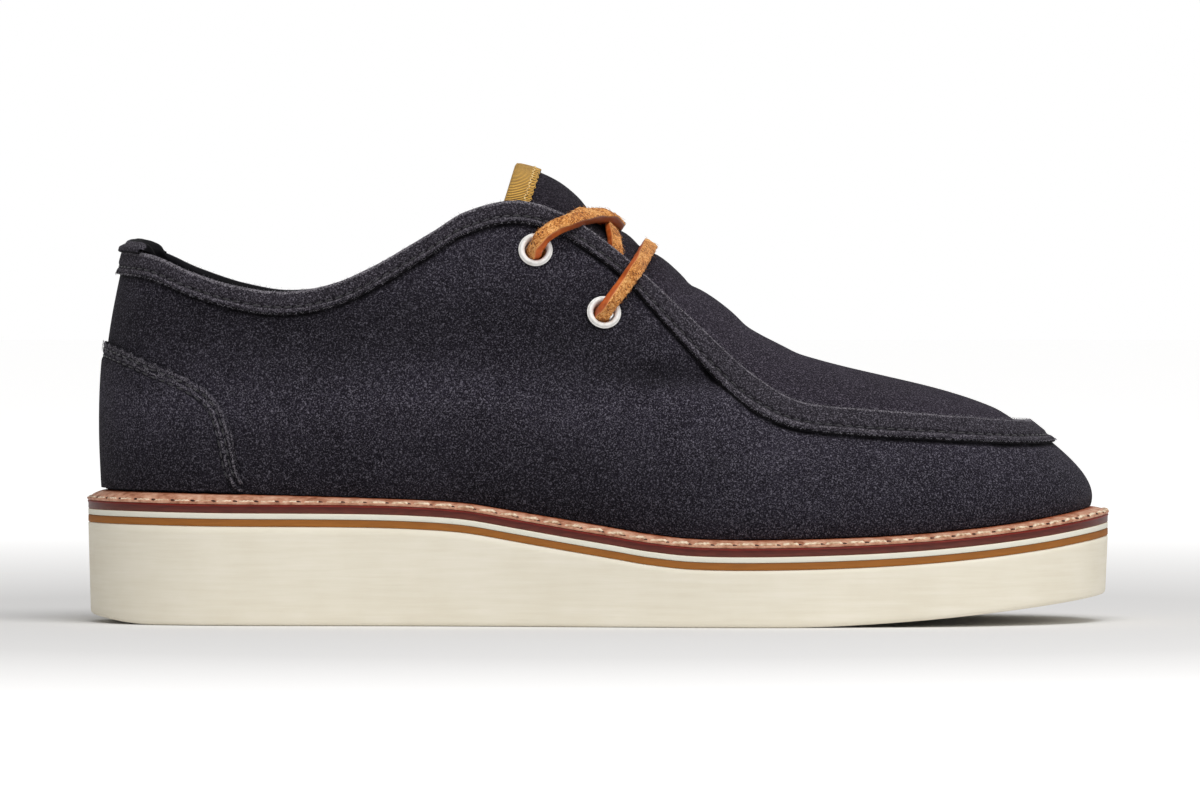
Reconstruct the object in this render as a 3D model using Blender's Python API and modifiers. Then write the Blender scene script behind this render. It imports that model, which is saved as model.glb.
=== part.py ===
"""Moccasin-toe chukka shoe for the right foot: a suede upper on a layered wedge sole.

Metres, +Z up, toe towards +X, lateral (outer) side towards -Y, floor at Z = 0.
"""
import math
from collections import namedtuple
from functools import lru_cache

import bmesh
import bpy
from mathutils import Vector

# ---------------------------------------------------------------- driving sizes
SHOE_LENGTH = 0.296        # outsole, back of the heel to the toe
BALL_WIDTH = 0.100         # upper across the ball of the foot
INSTEP_HEIGHT = 0.1215     # top of the quarters above the floor
HEEL_STACK = 0.038         # top of the welt above the floor at the heel

GAP = 0.0003               # clearance between pieces that touch
WALL = 0.0020              # suede and lining of the side wall
BAND_THICKNESS = 0.0010
BAND_WIDTH = 0.0069
COUNTER_THICKNESS = 0.0010
APRON_THICKNESS = 0.0020
BINDING_THICKNESS = 0.0007
BINDING_WIDTH = 0.0057
LASTING_MARGIN = 0.0090    # width of the edge turned in under the foot
MEDIAL_LIFT = 0.0013       # the collar stands higher on the medial side of the heel
MEDIAL_DROP = 0.0002       # and lower on that side from the ankle forwards

WELT_OVERHANG = 0.0053     # welt and sole edge beyond the upper
WELT_INNER = 0.0085        # welt strip running in under the upper
WELT_SLOPE = 0.0013        # drop of the welt's top to its outer edge
WELT_ROUND = 0.0008        # rounding of that edge
LAYER_SETBACK = 0.0002     # sole layers stand this far inside the welt's edge
LEATHER_LAYER = 0.0025
WHITE_LAYER = 0.0017
TAN_LAYER = 0.0021
INSOLE_THICKNESS = 0.0030
INSOLE_CLEAR = 0.0010
INSOLE_ROUND = 0.0010
TOE_SPRING = 0.0080
HEEL_BEVEL = 0.0022
SOLE_TAPER = 0.0009        # the outsole's sides draw in towards the floor
EDGE_BEVEL = 0.0012
TOE_ROLL = 0.68            # shares of the length where the underside leaves the floor
HEEL_ROLL = 0.06

STATIONS = 64              # points round the foot, the heel's back first
HALVINGS = 30              # steps of a search by halving

# Sections across the foot, heel's back to toe tip. Places are shares of SHOE_LENGTH, half widths are
# shares of BALL_WIDTH, at the welt and at the top edge. low and high push the wall out, in mm.
Section = namedtuple("Section", "along out inn top_along top_out top_inn low high")
SECTIONS = [
    Section(0.017, 0.000, 0.000, 0.037, 0.000, 0.000, 2.0, 6.0),
    Section(0.030, 0.140, 0.140, 0.047, 0.115, 0.115, 2.0, 6.0),
    Section(0.061, 0.240, 0.240, 0.071, 0.195, 0.195, 2.0, 6.0),
    Section(0.111, 0.305, 0.300, 0.117, 0.255, 0.250, 2.0, 5.5),
    Section(0.179, 0.330, 0.320, 0.179, 0.290, 0.280, 1.5, 5.0),
    Section(0.264, 0.340, 0.312, 0.260, 0.292, 0.280, 1.0, 5.0),
    Section(0.348, 0.360, 0.302, 0.343, 0.275, 0.260, 1.0, 7.0),
    Section(0.432, 0.395, 0.308, 0.426, 0.240, 0.230, 1.5, 9.0),
    Section(0.517, 0.440, 0.345, 0.514, 0.250, 0.240, 3.0, 11.0),
    Section(0.601, 0.475, 0.405, 0.601, 0.280, 0.275, 5.0, 10.0),
    Section(0.676, 0.485, 0.450, 0.672, 0.315, 0.310, 5.5, 8.5),
    Section(0.753, 0.460, 0.465, 0.743, 0.325, 0.335, 5.0, 7.0),
    Section(0.821, 0.430, 0.450, 0.804, 0.300, 0.325, 4.5, 7.0),
    Section(0.880, 0.365, 0.415, 0.855, 0.255, 0.300, 4.0, 8.0),
    Section(0.930, 0.265, 0.345, 0.892, 0.185, 0.250, 3.5, 8.5),
    Section(0.965, 0.130, 0.235, 0.912, 0.085, 0.165, 3.5, 9.0),
    Section(0.980, -0.050, 0.050, 0.919, -0.045, 0.045, 3.5, 9.0),
]

LOW_PULL = 0.35            # where low and high act, as shares of the wall's height
HIGH_PULL = 0.30

# Heights along the shoe. along is a share of SHOE_LENGTH, height a share of the size named for each.
Height = namedtuple("Height", "along height")
TOPLINE = [  # shares of INSTEP_HEIGHT
    Height(0.030, 0.882), Height(0.066, 0.870), Height(0.104, 0.831), Height(0.147, 0.799),
    Height(0.193, 0.785), Height(0.240, 0.803), Height(0.282, 0.847), Height(0.339, 0.928),
    Height(0.369, 0.973), Height(0.419, 1.000), Height(0.465, 0.968), Height(0.516, 0.883),
    Height(0.585, 0.728), Height(0.640, 0.603), Height(0.679, 0.539), Height(0.706, 0.519),
    Height(0.780, 0.503), Height(0.860, 0.486), Height(0.930, 0.470),
]
CROWN = [    # shares of INSTEP_HEIGHT
    Height(0.380, 1.083), Height(0.419, 1.084), Height(0.459, 1.048), Height(0.500, 0.965),
    Height(0.522, 0.931), Height(0.558, 0.872), Height(0.590, 0.805), Height(0.622, 0.752),
    Height(0.656, 0.684), Height(0.684, 0.649), Height(0.710, 0.624), Height(0.780, 0.582),
    Height(0.850, 0.540), Height(0.885, 0.510), Height(0.905, 0.480), Height(0.920, 0.450),
]
WELT_LINE = [  # shares of HEEL_STACK
    Height(0.000, 1.005), Height(0.070, 1.000), Height(0.160, 0.985), Height(0.250, 0.966),
    Height(0.322, 0.947), Height(0.372, 0.921), Height(0.421, 0.861), Height(0.473, 0.795),
    Height(0.518, 0.737), Height(0.548, 0.697), Height(0.593, 0.661), Height(0.668, 0.655),
    Height(0.770, 0.678), Height(0.850, 0.724), Height(0.920, 0.790), Height(1.000, 0.900),
]
WELT_THICKNESS = [  # shares of HEEL_STACK
    Height(0.000, 0.076), Height(0.120, 0.076), Height(0.300, 0.050), Height(0.500, 0.058),
    Height(1.000, 0.050),
]
COUNTER_EDGE = [  # top edge of the heel counter, shares of INSTEP_HEIGHT
    Height(0.010, 0.672), Height(0.043, 0.645), Height(0.070, 0.616), Height(0.089, 0.598),
    Height(0.117, 0.561), Height(0.130, 0.531), Height(0.137, 0.499), Height(0.144, 0.440),
    Height(0.149, 0.380), Height(0.157, 0.330),
]


# ---------------------------------------------------------------- curves on the last
def at(along):
    """Place along the shoe, from the outsole's back, as X."""
    return (along - 0.5) * SHOE_LENGTH


def read(table, x, size):
    """Smooth height at x through a table of Height rows."""
    along = x / SHOE_LENGTH + 0.5
    last = len(table) - 1
    if along <= table[0].along:
        return table[0].height * size
    if along >= table[last].along:
        return table[last].height * size
    i = max(k for k in range(last) if table[k].along <= along)

    def slope(k):
        before = table[max(k - 1, 0)]
        after = table[min(k + 1, last)]
        return (after.height - before.height) / (after.along - before.along)

    run = table[i + 1].along - table[i].along
    t = (along - table[i].along) / run
    value = ((2 * t ** 3 - 3 * t ** 2 + 1) * table[i].height
             + (t ** 3 - 2 * t ** 2 + t) * run * slope(i)
             + (3 * t ** 2 - 2 * t ** 3) * table[i + 1].height
             + (t ** 3 - t ** 2) * run * slope(i + 1))
    return value * size


def round_the_foot(lateral, medial):
    """Closed list of control values: heel's back, lateral side, toe tip, medial side."""
    last = len(SECTIONS) - 1
    return ([lateral(s) for s in SECTIONS]
            + [medial(SECTIONS[i]) for i in range(last - 1, 0, -1)])


FEATHER = round_the_foot(lambda s: Vector((at(s.along), -s.out * BALL_WIDTH)),
                         lambda s: Vector((at(s.along), s.inn * BALL_WIDTH)))
TOP = round_the_foot(lambda s: Vector((at(s.top_along), -s.top_out * BALL_WIDTH)),
                     lambda s: Vector((at(s.top_along), s.top_inn * BALL_WIDTH)))
BULGE = round_the_foot(lambda s: Vector((s.low, s.high)) * 0.001,
                       lambda s: Vector((s.low, s.high)) * 0.001)
TURN = len(FEATHER)        # one turn round the foot, in sections
TOE = len(SECTIONS) - 1    # turn value of the toe tip


def spline(controls, turn):
    """Point on the closed Catmull-Rom curve through controls."""
    count = len(controls)
    i = math.floor(turn)
    t = turn - i
    a, b, c, d = (controls[(i + k) % count] for k in (-1, 0, 1, 2))
    return 0.5 * (2 * b + (c - a) * t + (2 * a - 5 * b + 4 * c - d) * t * t
                  + (3 * b - a - 3 * c + d) * t ** 3)


def outward(controls, turn):
    """Unit normal of a closed plan curve, away from the foot."""
    step = 0.02
    along = spline(controls, turn + step) - spline(controls, turn - step)
    return Vector((-along.y, along.x)).normalized() * -1.0


def ring(turn, offset):
    """Plan point at a distance outside the feather line."""
    return spline(FEATHER, turn) + outward(FEATHER, turn) * offset


def welt_height(turn):
    """Height of the welt where the upper meets it."""
    return read(WELT_LINE, spline(FEATHER, turn).x, HEEL_STACK)


LIFT_ACROSS = 0.012        # the medial lift grows over this width and ends between these places
LIFT_FROM = at(0.068)
LIFT_TO = at(0.250)


def top_edge(turn):
    """Visible top edge of the collar, throat and apron opening."""
    plan = spline(TOP, turn)
    height = read(TOPLINE, plan.x, INSTEP_HEIGHT)
    side = min(max(plan.y / LIFT_ACROSS, 0.0), 1.0)
    run = min(max((plan.x - LIFT_FROM) / (LIFT_TO - LIFT_FROM), 0.0), 1.0)
    lift = MEDIAL_LIFT - (MEDIAL_LIFT + MEDIAL_DROP) * run * run * (3 - 2 * run)
    return Vector((plan.x, plan.y, height + lift * side))


def wall_middle(turn, rise):
    """Point on the outer face of the side wall, rise 0 at the welt and 1 at the top edge."""
    foot = spline(FEATHER, turn)
    base = Vector((foot.x, foot.y, welt_height(turn)))
    top = top_edge(turn)
    push = outward(FEATHER, turn)
    low, high = spline(BULGE, turn)
    climb = top.z - base.z
    near = base + Vector((push.x * low, push.y * low, LOW_PULL * climb))
    far = top + Vector((push.x * high, push.y * high, -HIGH_PULL * climb))
    u = 1 - rise
    return (base * u ** 3 + near * 3 * u * u * rise + far * 3 * u * rise * rise + top * rise ** 3)


def wall(turn, rise, offset=0.0):
    """Point at a distance outside the side wall's outer face, measured along its normal."""
    here = wall_middle(turn, rise)
    low = max(rise - 0.01, 0.0)
    up = wall_middle(turn, low + 0.02) - wall_middle(turn, low)
    along = wall_middle(turn + 0.02, rise) - wall_middle(turn - 0.02, rise)
    normal = along.cross(up).normalized()
    return here + normal * offset


def down_the_wall(turn, depth):
    """rise of the point that lies depth below the top edge, along the wall."""
    steps = 60
    before = wall_middle(turn, 1.0)
    travelled = 0.0
    for i in range(1, steps + 1):
        rise = 1 - i / steps
        point = wall_middle(turn, rise)
        length = (point - before).length
        if travelled + length >= depth:
            return 1 - (i - 1 + (depth - travelled) / length) / steps
        travelled += length
        before = point
    return 0.0


def turn_at(x, controls):
    """Turn value where a plan curve passes x on the lateral side."""
    low, high = 0.0, float(TOE)
    for _ in range(HALVINGS):
        middle = 0.5 * (low + high)
        if spline(controls, middle).x < x:
            low = middle
        else:
            high = middle
    return 0.5 * (low + high)


# ---------------------------------------------------------------- scene and materials
for old in list(bpy.data.objects):
    bpy.data.objects.remove(old, do_unlink=True)
SHOE = bpy.data.collections.new("moccasin_chukka")
CUTTERS = bpy.data.collections.new("cutters")
bpy.context.scene.collection.children.link(SHOE)
bpy.context.scene.collection.children.link(CUTTERS)


def material(name, colour, roughness, metallic=0.0):
    made = bpy.data.materials.new(name)
    made.use_nodes = True
    shader = made.node_tree.nodes["Principled BSDF"]
    shader.inputs["Base Color"].default_value = (*colour, 1.0)
    shader.inputs["Roughness"].default_value = roughness
    shader.inputs["Metallic"].default_value = metallic
    return made


SUEDE = material("navy_suede", (0.025, 0.024, 0.032), 0.95)
SUEDE_BAND = material("navy_suede_band", (0.036, 0.035, 0.044), 0.95)
GROSGRAIN = material("gold_grosgrain", (0.55, 0.33, 0.09), 0.8)
ENAMEL = material("white_enamel", (0.83, 0.82, 0.80), 0.3)
THONG = material("leather_thong", (0.52, 0.24, 0.07), 0.6)
LINING = material("insole_leather", (0.03, 0.028, 0.03), 0.7)
WELT_LEATHER = material("welt_leather", (0.70, 0.43, 0.30), 0.55)
BURNISHED = material("burnished_leather", (0.12, 0.028, 0.02), 0.4)
WHITE_FOAM = material("white_layer", (0.70, 0.70, 0.62), 0.7)
TAN_FOAM = material("tan_layer", (0.31, 0.13, 0.03), 0.7)
CREAM_RUBBER = material("cream_rubber", (0.74, 0.68, 0.58), 0.75)


def add_object(name, vertices, faces, surface):
    """A named mesh object with its faces turned outwards."""
    mesh = bpy.data.meshes.new(name)
    mesh.from_pydata([tuple(v) for v in vertices], [], faces)
    mesh.materials.append(surface)
    work = bmesh.new()
    work.from_mesh(mesh)
    bmesh.ops.remove_doubles(work, verts=work.verts, dist=1e-6)
    bmesh.ops.recalc_face_normals(work, faces=work.faces)
    work.to_mesh(mesh)
    work.free()
    mesh.shade_smooth()
    mesh.set_sharp_from_angle(angle=math.radians(40))
    made = bpy.data.objects.new(name, mesh)
    SHOE.objects.link(made)
    return made


def loft(name, sections, surface, closed=False):
    """Solid through cross-sections, each a closed loop of as many points."""
    size = len(sections[0])
    vertices = [point for section in sections for point in section]
    faces = []
    spans = len(sections) if closed else len(sections) - 1
    for i in range(spans):
        j = (i + 1) % len(sections)
        for k in range(size):
            m = (k + 1) % size
            faces.append((i * size + k, i * size + m, j * size + m, j * size + k))
    if not closed:
        faces.append(tuple(range(size)))
        faces.append(tuple((len(sections) - 1) * size + k for k in range(size)))
    return add_object(name, vertices, faces, surface)


def turns():
    """Even steps once round the foot."""
    return [TURN * i / STATIONS for i in range(STATIONS)]


def plate(name, rings, surface):
    """Solid bounded by rings round the foot, the first and the last closed straight across.

    A ring is a list of points, one for each station; each rung joins the two sides of a section.
    """
    vertices = [point for points in rings for point in points]
    faces = []
    for i in range(len(rings) - 1):
        for k in range(STATIONS):
            m = (k + 1) % STATIONS
            faces.append((i * STATIONS + k, i * STATIONS + m,
                          (i + 1) * STATIONS + m, (i + 1) * STATIONS + k))
    for start in (0, (len(rings) - 1) * STATIONS):
        for k in range(STATIONS // 2):
            right, left = start + k, start + (STATIONS - k) % STATIONS
            next_right, next_left = start + k + 1, start + STATIONS - k - 1
            corners = [right, next_right, next_left, left]
            faces.append(tuple(dict.fromkeys(corners)))
    return add_object(name, vertices, faces, surface)


# ---------------------------------------------------------------- sole: layers under the welt line
def layer_ring(offset, drop):
    """Ring at a distance outside the feather line and a depth under the welt line."""
    points = []
    for turn in turns():
        plan = ring(turn, offset)
        points.append(Vector((plan.x, plan.y, welt_height(turn) - drop(turn))))
    return points


def welt_depth(turn):
    return read(WELT_THICKNESS, spline(FEATHER, turn).x, HEEL_STACK)


def leather_depth(turn):
    return welt_depth(turn) + LEATHER_LAYER


def white_depth(turn):
    return leather_depth(turn) + WHITE_LAYER


def tan_depth(turn):
    return white_depth(turn) + TAN_LAYER


def build_welt():
    sections = []
    for turn in turns():
        top = welt_height(turn)
        bottom = top - welt_depth(turn) + GAP
        rows = [(-WELT_INNER, top), (0.0, top),
                (WELT_OVERHANG - WELT_ROUND, top - WELT_SLOPE + 0.4 * WELT_ROUND),
                (WELT_OVERHANG, top - WELT_SLOPE - 0.3 * WELT_ROUND),
                (WELT_OVERHANG, bottom), (-WELT_INNER, bottom)]
        sections.append([ring(turn, offset).to_3d() + Vector((0, 0, z)) for offset, z in rows])
    loft("welt", sections, WELT_LEATHER, closed=True)


def build_layer(name, top_drop, bottom_drop, edge, surface):
    upper_ring = layer_ring(edge, top_drop)
    lower_ring = layer_ring(edge, lambda turn: bottom_drop(turn) - GAP)
    plate(name, [upper_ring, lower_ring], surface)


def ground(x):
    """Underside of the outsole: flat, rising at the toe and a little at the back of the heel."""
    toe = max(x - at(TOE_ROLL), 0.0) / (at(1.0) - at(TOE_ROLL))
    heel = max(at(HEEL_ROLL) - x, 0.0) / (at(HEEL_ROLL) - at(0.0))
    return TOE_SPRING * toe ** 1.6 + HEEL_BEVEL * heel ** 1.5


def build_outsole():
    top_ring = layer_ring(WELT_OVERHANG - LAYER_SETBACK, tan_depth)
    side_ring = []
    sole_ring = []
    for turn in turns():
        side = ring(turn, WELT_OVERHANG - SOLE_TAPER)
        low = ring(turn, WELT_OVERHANG - SOLE_TAPER - EDGE_BEVEL)
        flat = ground(spline(FEATHER, turn).x + outward(FEATHER, turn).x * WELT_OVERHANG)
        side_ring.append(Vector((side.x, side.y, flat + EDGE_BEVEL)))
        sole_ring.append(Vector((low.x, low.y, flat)))
    plate("outsole", [top_ring, side_ring, sole_ring], CREAM_RUBBER)


# ---------------------------------------------------------------- upper: one hollow side wall
WALL_RISES = (0.10, 0.24, 0.40, 0.56, 0.72, 0.86)


def wall_top_rise(turn):
    """rise of the side wall's own cut edge, under the fold of the band."""
    return down_the_wall(turn, BAND_THICKNESS + GAP)


def build_upper():
    sections = []
    for turn in turns():
        floor = welt_height(turn) + GAP
        edge = wall_top_rise(turn)
        outer = [wall(turn, rise * edge) for rise in (0.0,) + WALL_RISES + (1.0,)]
        inner = [wall(turn, rise * edge, -WALL) for rise in (1.0,) + WALL_RISES[::-1]]
        outer[0].z = floor
        heel_of_wall = ring(turn, -WALL).to_3d() + Vector((0, 0, floor + WALL))
        flange = ring(turn, -LASTING_MARGIN).to_3d()
        margin = [flange + Vector((0, 0, floor + WALL)), flange + Vector((0, 0, floor))]
        sections.append(outer + inner + [heel_of_wall] + margin)
    return loft("upper", sections, SUEDE, closed=True)


def build_insole():
    """Foot bed on the lasting margin, stepped down to the midsole inside it."""
    top, rim, step, inner_step, under = [], [], [], [], []
    for turn in turns():
        base = welt_height(turn) + GAP + WALL + GAP
        wide = ring(turn, -WALL - INSOLE_CLEAR).to_3d()
        soft = ring(turn, -WALL - INSOLE_CLEAR - INSOLE_ROUND).to_3d()
        narrow = ring(turn, -LASTING_MARGIN - INSOLE_CLEAR).to_3d()
        deep = welt_height(turn) - welt_depth(turn) + GAP
        top.append(soft + Vector((0, 0, base + INSOLE_THICKNESS)))
        rim.append(wide + Vector((0, 0, base + INSOLE_THICKNESS - INSOLE_ROUND)))
        step.append(wide + Vector((0, 0, base)))
        inner_step.append(narrow + Vector((0, 0, base)))
        under.append(narrow + Vector((0, 0, deep)))
    plate("insole", [top, rim, step, inner_step, under], LINING)


# ---------------------------------------------------------------- apron and tongue in one
TONGUE_TIP = 6.97          # turn value of the tongue's end
THROAT_END = at(0.66)      # room for the ribbon under the quarters fades out here
THROAT_FADE = 0.05
TUCK = 0.0090              # apron and tongue under the side wall's edge
TUCKED = 1.6               # across value of the tucked edge; 1 is the band, 0 the crown
ARCH_SIDE = 0.28           # fullness of the arch at its edges and at its crown
ARCH_CROWN = 0.42
TIP_LEAN = 0.30            # backward lean of the tongue's end, and where it fades out
TIP_LEAN_END = at(0.52)
TIP_LEAN_RUN = 0.028
APRON_ROWS = 20
APRON_ACROSS = (TUCKED, 1.3, 1.0, 0.75, 0.5, 0.25)
BINDING_ACROSS = 1.2       # how far down each side the ribbon runs
BINDING_SLACK = 0.0009     # behind and under the tongue's end, where the ribbon turns
BINDING_SECTIONS = 16


def under_band(turn):
    """Distance inside the wall's face where the apron and tongue run."""
    x = spline(TOP, turn).x
    throat = min(max((THROAT_END - x) / THROAT_FADE, 0.0), 1.0)
    return WALL + GAP + BAND_THICKNESS + GAP + (BINDING_THICKNESS + GAP) * throat


@lru_cache(maxsize=None)
def arch(turn):
    """Edges and crown of the apron and tongue at one section."""
    sides = []
    for side_turn in (turn, TURN - turn):
        edge = wall(side_turn, 1.0, -under_band(turn))
        below = wall(side_turn, down_the_wall(side_turn, 0.3 * TUCK), -under_band(turn))
        sides.append((edge, (edge - below).normalized()))
    centre = 0.5 * (sides[0][0] + sides[1][0])
    height = max(read(CROWN, centre.x, INSTEP_HEIGHT), centre.z)
    return sides, Vector((centre.x, centre.y + 0.001, height))


def apron_point(turn, across):
    """Point on the upper face of the apron and tongue, lateral edge -1, crown 0, medial edge 1."""
    sides, crown = arch(turn)
    edge, direction = sides[0 if across < 0 else 1]
    out = abs(across)
    if out > 1:
        side_turn = turn if across < 0 else TURN - turn
        depth = TUCK * (out - 1) / (TUCKED - 1)
        point = wall(side_turn, down_the_wall(side_turn, depth), -under_band(turn))
    else:
        half = 0.5 * (sides[0][0] - sides[1][0]).length
        near = edge + direction * ARCH_SIDE * half
        near.z = min(near.z, crown.z)
        far = crown + (edge - crown) * ARCH_CROWN
        far.z = crown.z
        point = (edge * out ** 3 + near * 3 * out * out * (1 - out)
                 + far * 3 * out * (1 - out) ** 2 + crown * (1 - out) ** 3)
    tip = min(max((TIP_LEAN_END - point.x) / TIP_LEAN_RUN, 0.0), 1.0)
    return point + Vector((-TIP_LEAN * max(crown.z - point.z, 0.0) * tip, 0, 0))


def apron_frame(turn, across):
    """Point on the apron and tongue, with its forward direction and its outward normal."""
    step = 0.02
    here = apron_point(turn, across)
    forward = (apron_point(turn + step, across) - apron_point(turn - step, across)).normalized()
    sideways = apron_point(turn, across + step) - apron_point(turn, across - step)
    return here, forward, forward.cross(sideways).normalized()


def build_apron_tongue():
    across = [-a for a in APRON_ACROSS] + [0.0] + list(APRON_ACROSS[::-1])
    size = len(across)
    vertices = []
    for i in range(APRON_ROWS + 1):
        turn = TONGUE_TIP + (TOE - TONGUE_TIP) * i / APRON_ROWS
        vertices += [apron_point(turn, a) for a in across]
    faces = []
    for i in range(APRON_ROWS):
        for k in range(size - 1):
            faces.append((i * size + k, i * size + k + 1, (i + 1) * size + k + 1,
                          (i + 1) * size + k))
    made = add_object("apron_tongue", vertices, faces, SUEDE)
    if sum(face.normal.z for face in made.data.polygons) < 0:
        made.data.flip_normals()
    shell = made.modifiers.new("leather", "SOLIDIFY")
    shell.thickness = APRON_THICKNESS
    shell.offset = -1.0
    shell.use_even_offset = True


def ahead_of_tip(across, ahead, lift):
    """Point over the tongue, a distance ahead of its end, following its face."""
    here, forward, normal = apron_frame(TONGUE_TIP, across)
    if ahead <= 0:
        return here + forward * ahead + normal * lift
    step = 0.1
    pace = (apron_point(TONGUE_TIP + step, across) - here).length / step
    here, forward, normal = apron_frame(TONGUE_TIP + ahead / pace, across)
    return here + normal * lift


def build_tongue_binding():
    """Ribbon folded over the tongue's end, from one quarter to the other."""
    outer = GAP + BINDING_THICKNESS
    under = APRON_THICKNESS + BINDING_SLACK
    sections = []
    half = 0.5 * BINDING_WIDTH
    low = -under - BINDING_THICKNESS
    behind = -BINDING_SLACK - BINDING_THICKNESS
    rows = [(BINDING_WIDTH, outer), (half, outer), (0.0, outer), (behind, 0.2 * outer),
            (behind, 0.2 * outer - under), (0.0, low), (half, low), (BINDING_WIDTH, low),
            (BINDING_WIDTH, -under), (half, -under), (-BINDING_SLACK, -under),
            (-BINDING_SLACK, GAP), (half, GAP), (BINDING_WIDTH, GAP)]
    for i in range(BINDING_SECTIONS + 1):
        across = BINDING_ACROSS * (2 * i / BINDING_SECTIONS - 1)
        sections.append([ahead_of_tip(across, ahead, lift) for ahead, lift in rows])
    loft("tongue_binding", sections, GROSGRAIN)


# ---------------------------------------------------------------- overlays from the wall's function
BAND_INNER_LEG = 0.0050
BAND_WIDTHS = [  # shares of BAND_WIDTH; the band is widest where the apron's seam runs down the instep
    Height(0.525, 1.00), Height(0.575, 1.47), Height(0.615, 1.80), Height(0.650, 1.81),
    Height(0.700, 1.46), Height(0.800, 1.36),
]
TAB_THICKNESS = 0.0010
TAB_STAND = 0.0033         # top of the tab above the collar's edge
TAB_FRONT_LOWER = 0.0011   # the tab drops towards its medial end
TAB_LATERAL = 1.5          # turn values where the heel tab ends on each side
TAB_MEDIAL = -1.9
TAB_SECTIONS = 10
TAB_OUTER_LEG = 0.0006
TAB_INNER_LEG = 0.0110
TAB_LOW = -0.0010          # underside of the tab's pad, just above the band's fold
TAB_TOP_OUTER = 0.0009     # offsets of the top's two shoulders from the wall's face
TAB_TOP_INNER = -0.0036
TAB_SHOULDER = 0.0012
COUNTER_FRONT = [3.67, 3.60]  # turn values ahead of the last whole station
COUNTER_FOOT = 0.0008


def near_top(turn, depth, offset):
    """Point a depth under the top edge, or above it where depth is negative."""
    if depth >= 0:
        return wall(turn, down_the_wall(turn, depth), offset)
    climb = (wall_middle(turn, 1.0) - wall_middle(turn, 0.97)).normalized()
    return wall(turn, 1.0, offset) - climb * depth


def fold(turn, top, thickness, outside, inside, outer_leg, inner_leg):
    """Cross-section of a strip folded over an edge."""
    soft = 0.35 * thickness
    half = 0.5 * (top + outer_leg)
    rows = [(outer_leg, outside), (outer_leg, outside + thickness), (half, outside + thickness),
            (top + 0.8 * thickness, outside + thickness), (top, outside + thickness - soft),
            (top - soft, 0.5 * (outside - inside)),
            (top, -inside - thickness + soft), (top + 0.8 * thickness, -inside - thickness),
            (inner_leg, -inside - thickness), (inner_leg, -inside),
            (top + thickness, -inside), (top + thickness, outside), (half, outside)]
    return [near_top(turn, depth, offset) for depth, offset in rows]


def band_width(turn):
    return read(BAND_WIDTHS, spline(TOP, turn).x, BAND_WIDTH)


def build_collar_band():
    sections = [fold(turn, 0.0, BAND_THICKNESS, GAP, WALL + GAP, band_width(turn), BAND_INNER_LEG)
                for turn in turns()]
    loft("collar_band", sections, SUEDE_BAND, closed=True)


def build_heel_tab():
    """Padded strip folded over the band at the back of the heel."""
    outside = GAP + BAND_THICKNESS + GAP
    inside = WALL + outside
    face, back = outside + 0.8 * TAB_THICKNESS, -inside - TAB_THICKNESS
    sections = []
    for i in range(TAB_SECTIONS + 1):
        share = i / TAB_SECTIONS
        turn = TAB_LATERAL + (TAB_MEDIAL - TAB_LATERAL) * share
        top = -TAB_STAND + TAB_FRONT_LOWER * max(2 * share - 1, 0.0) ** 1.5
        rows = [(TAB_OUTER_LEG, outside), (TAB_OUTER_LEG, face), (-0.8 * TAB_THICKNESS, face),
                (top + TAB_SHOULDER, TAB_TOP_OUTER), (top, TAB_TOP_OUTER - TAB_SHOULDER),
                (top, TAB_TOP_INNER + TAB_SHOULDER), (top + 0.5 * TAB_SHOULDER, TAB_TOP_INNER),
                (top + 1.5 * TAB_SHOULDER, back), (TAB_INNER_LEG, back), (TAB_INNER_LEG, -inside),
                (TAB_LOW, -inside), (TAB_LOW, outside)]
        sections.append([near_top(turn, depth, offset) for depth, offset in rows])
    loft("heel_tab", sections, SUEDE)


def rise_at(turn, height):
    """rise at which the side wall reaches a height."""
    low, high = 0.0, 1.0
    for _ in range(HALVINGS):
        middle = 0.5 * (low + high)
        if wall_middle(turn, middle).z < height:
            low = middle
        else:
            high = middle
    return 0.5 * (low + high)


def build_heel_counter():
    step = TURN / STATIONS
    half = COUNTER_FRONT + [step * i for i in range(7, -1, -1)]
    columns = half + [-turn for turn in half[-2::-1]]
    sections = []
    for turn in columns:
        edge = read(COUNTER_EDGE, spline(FEATHER, turn).x, INSTEP_HEIGHT)
        bottom = rise_at(turn, welt_height(turn) + COUNTER_FOOT)
        top = rise_at(turn, edge)
        rises = [bottom + (top - bottom) * share for share in (0.0, 0.25, 0.5, 0.75, 1.0)]
        outer = [wall(turn, rise, GAP + COUNTER_THICKNESS) for rise in rises]
        inner = [wall(turn, rise, GAP) for rise in rises[::-1]]
        sections.append(outer + inner)
    loft("heel_counter", sections, SUEDE)


# ---------------------------------------------------------------- eyelets and lace
EYELET_RIM = 0.0049
EYELET_HOLE = 0.00305
EYELET_BARREL = 0.0035
EYELET_HEIGHT = 0.0014
EYELET_PLACES = {"upper": (-0.0185, 0.1074), "lower": (0.0011, 0.0895)}  # X and height
LACE_WIDTH = 0.0040
LACE_THICKNESS = 0.0027


def wall_at(x, height, medial):
    """Turn and rise of the side wall's point at X and height."""
    turn = turn_at(x, FEATHER)
    pace = SHOE_LENGTH / TOE
    for _ in range(12):
        side = TURN - turn if medial else turn
        rise = rise_at(side, height)
        turn += (x - wall_middle(side, rise).x) / pace
    return (TURN - turn if medial else turn), rise


def eyelet_frame(level, medial):
    """Place on the wall's face, outward normal and rotation of one eyelet."""
    x, height = EYELET_PLACES[level]
    turn, rise = wall_at(x, height, medial)
    centre = wall(turn, rise)
    normal = (wall(turn, rise, 0.001) - centre).normalized()
    return centre, normal, normal.to_track_quat("Z", "Y")


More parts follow.
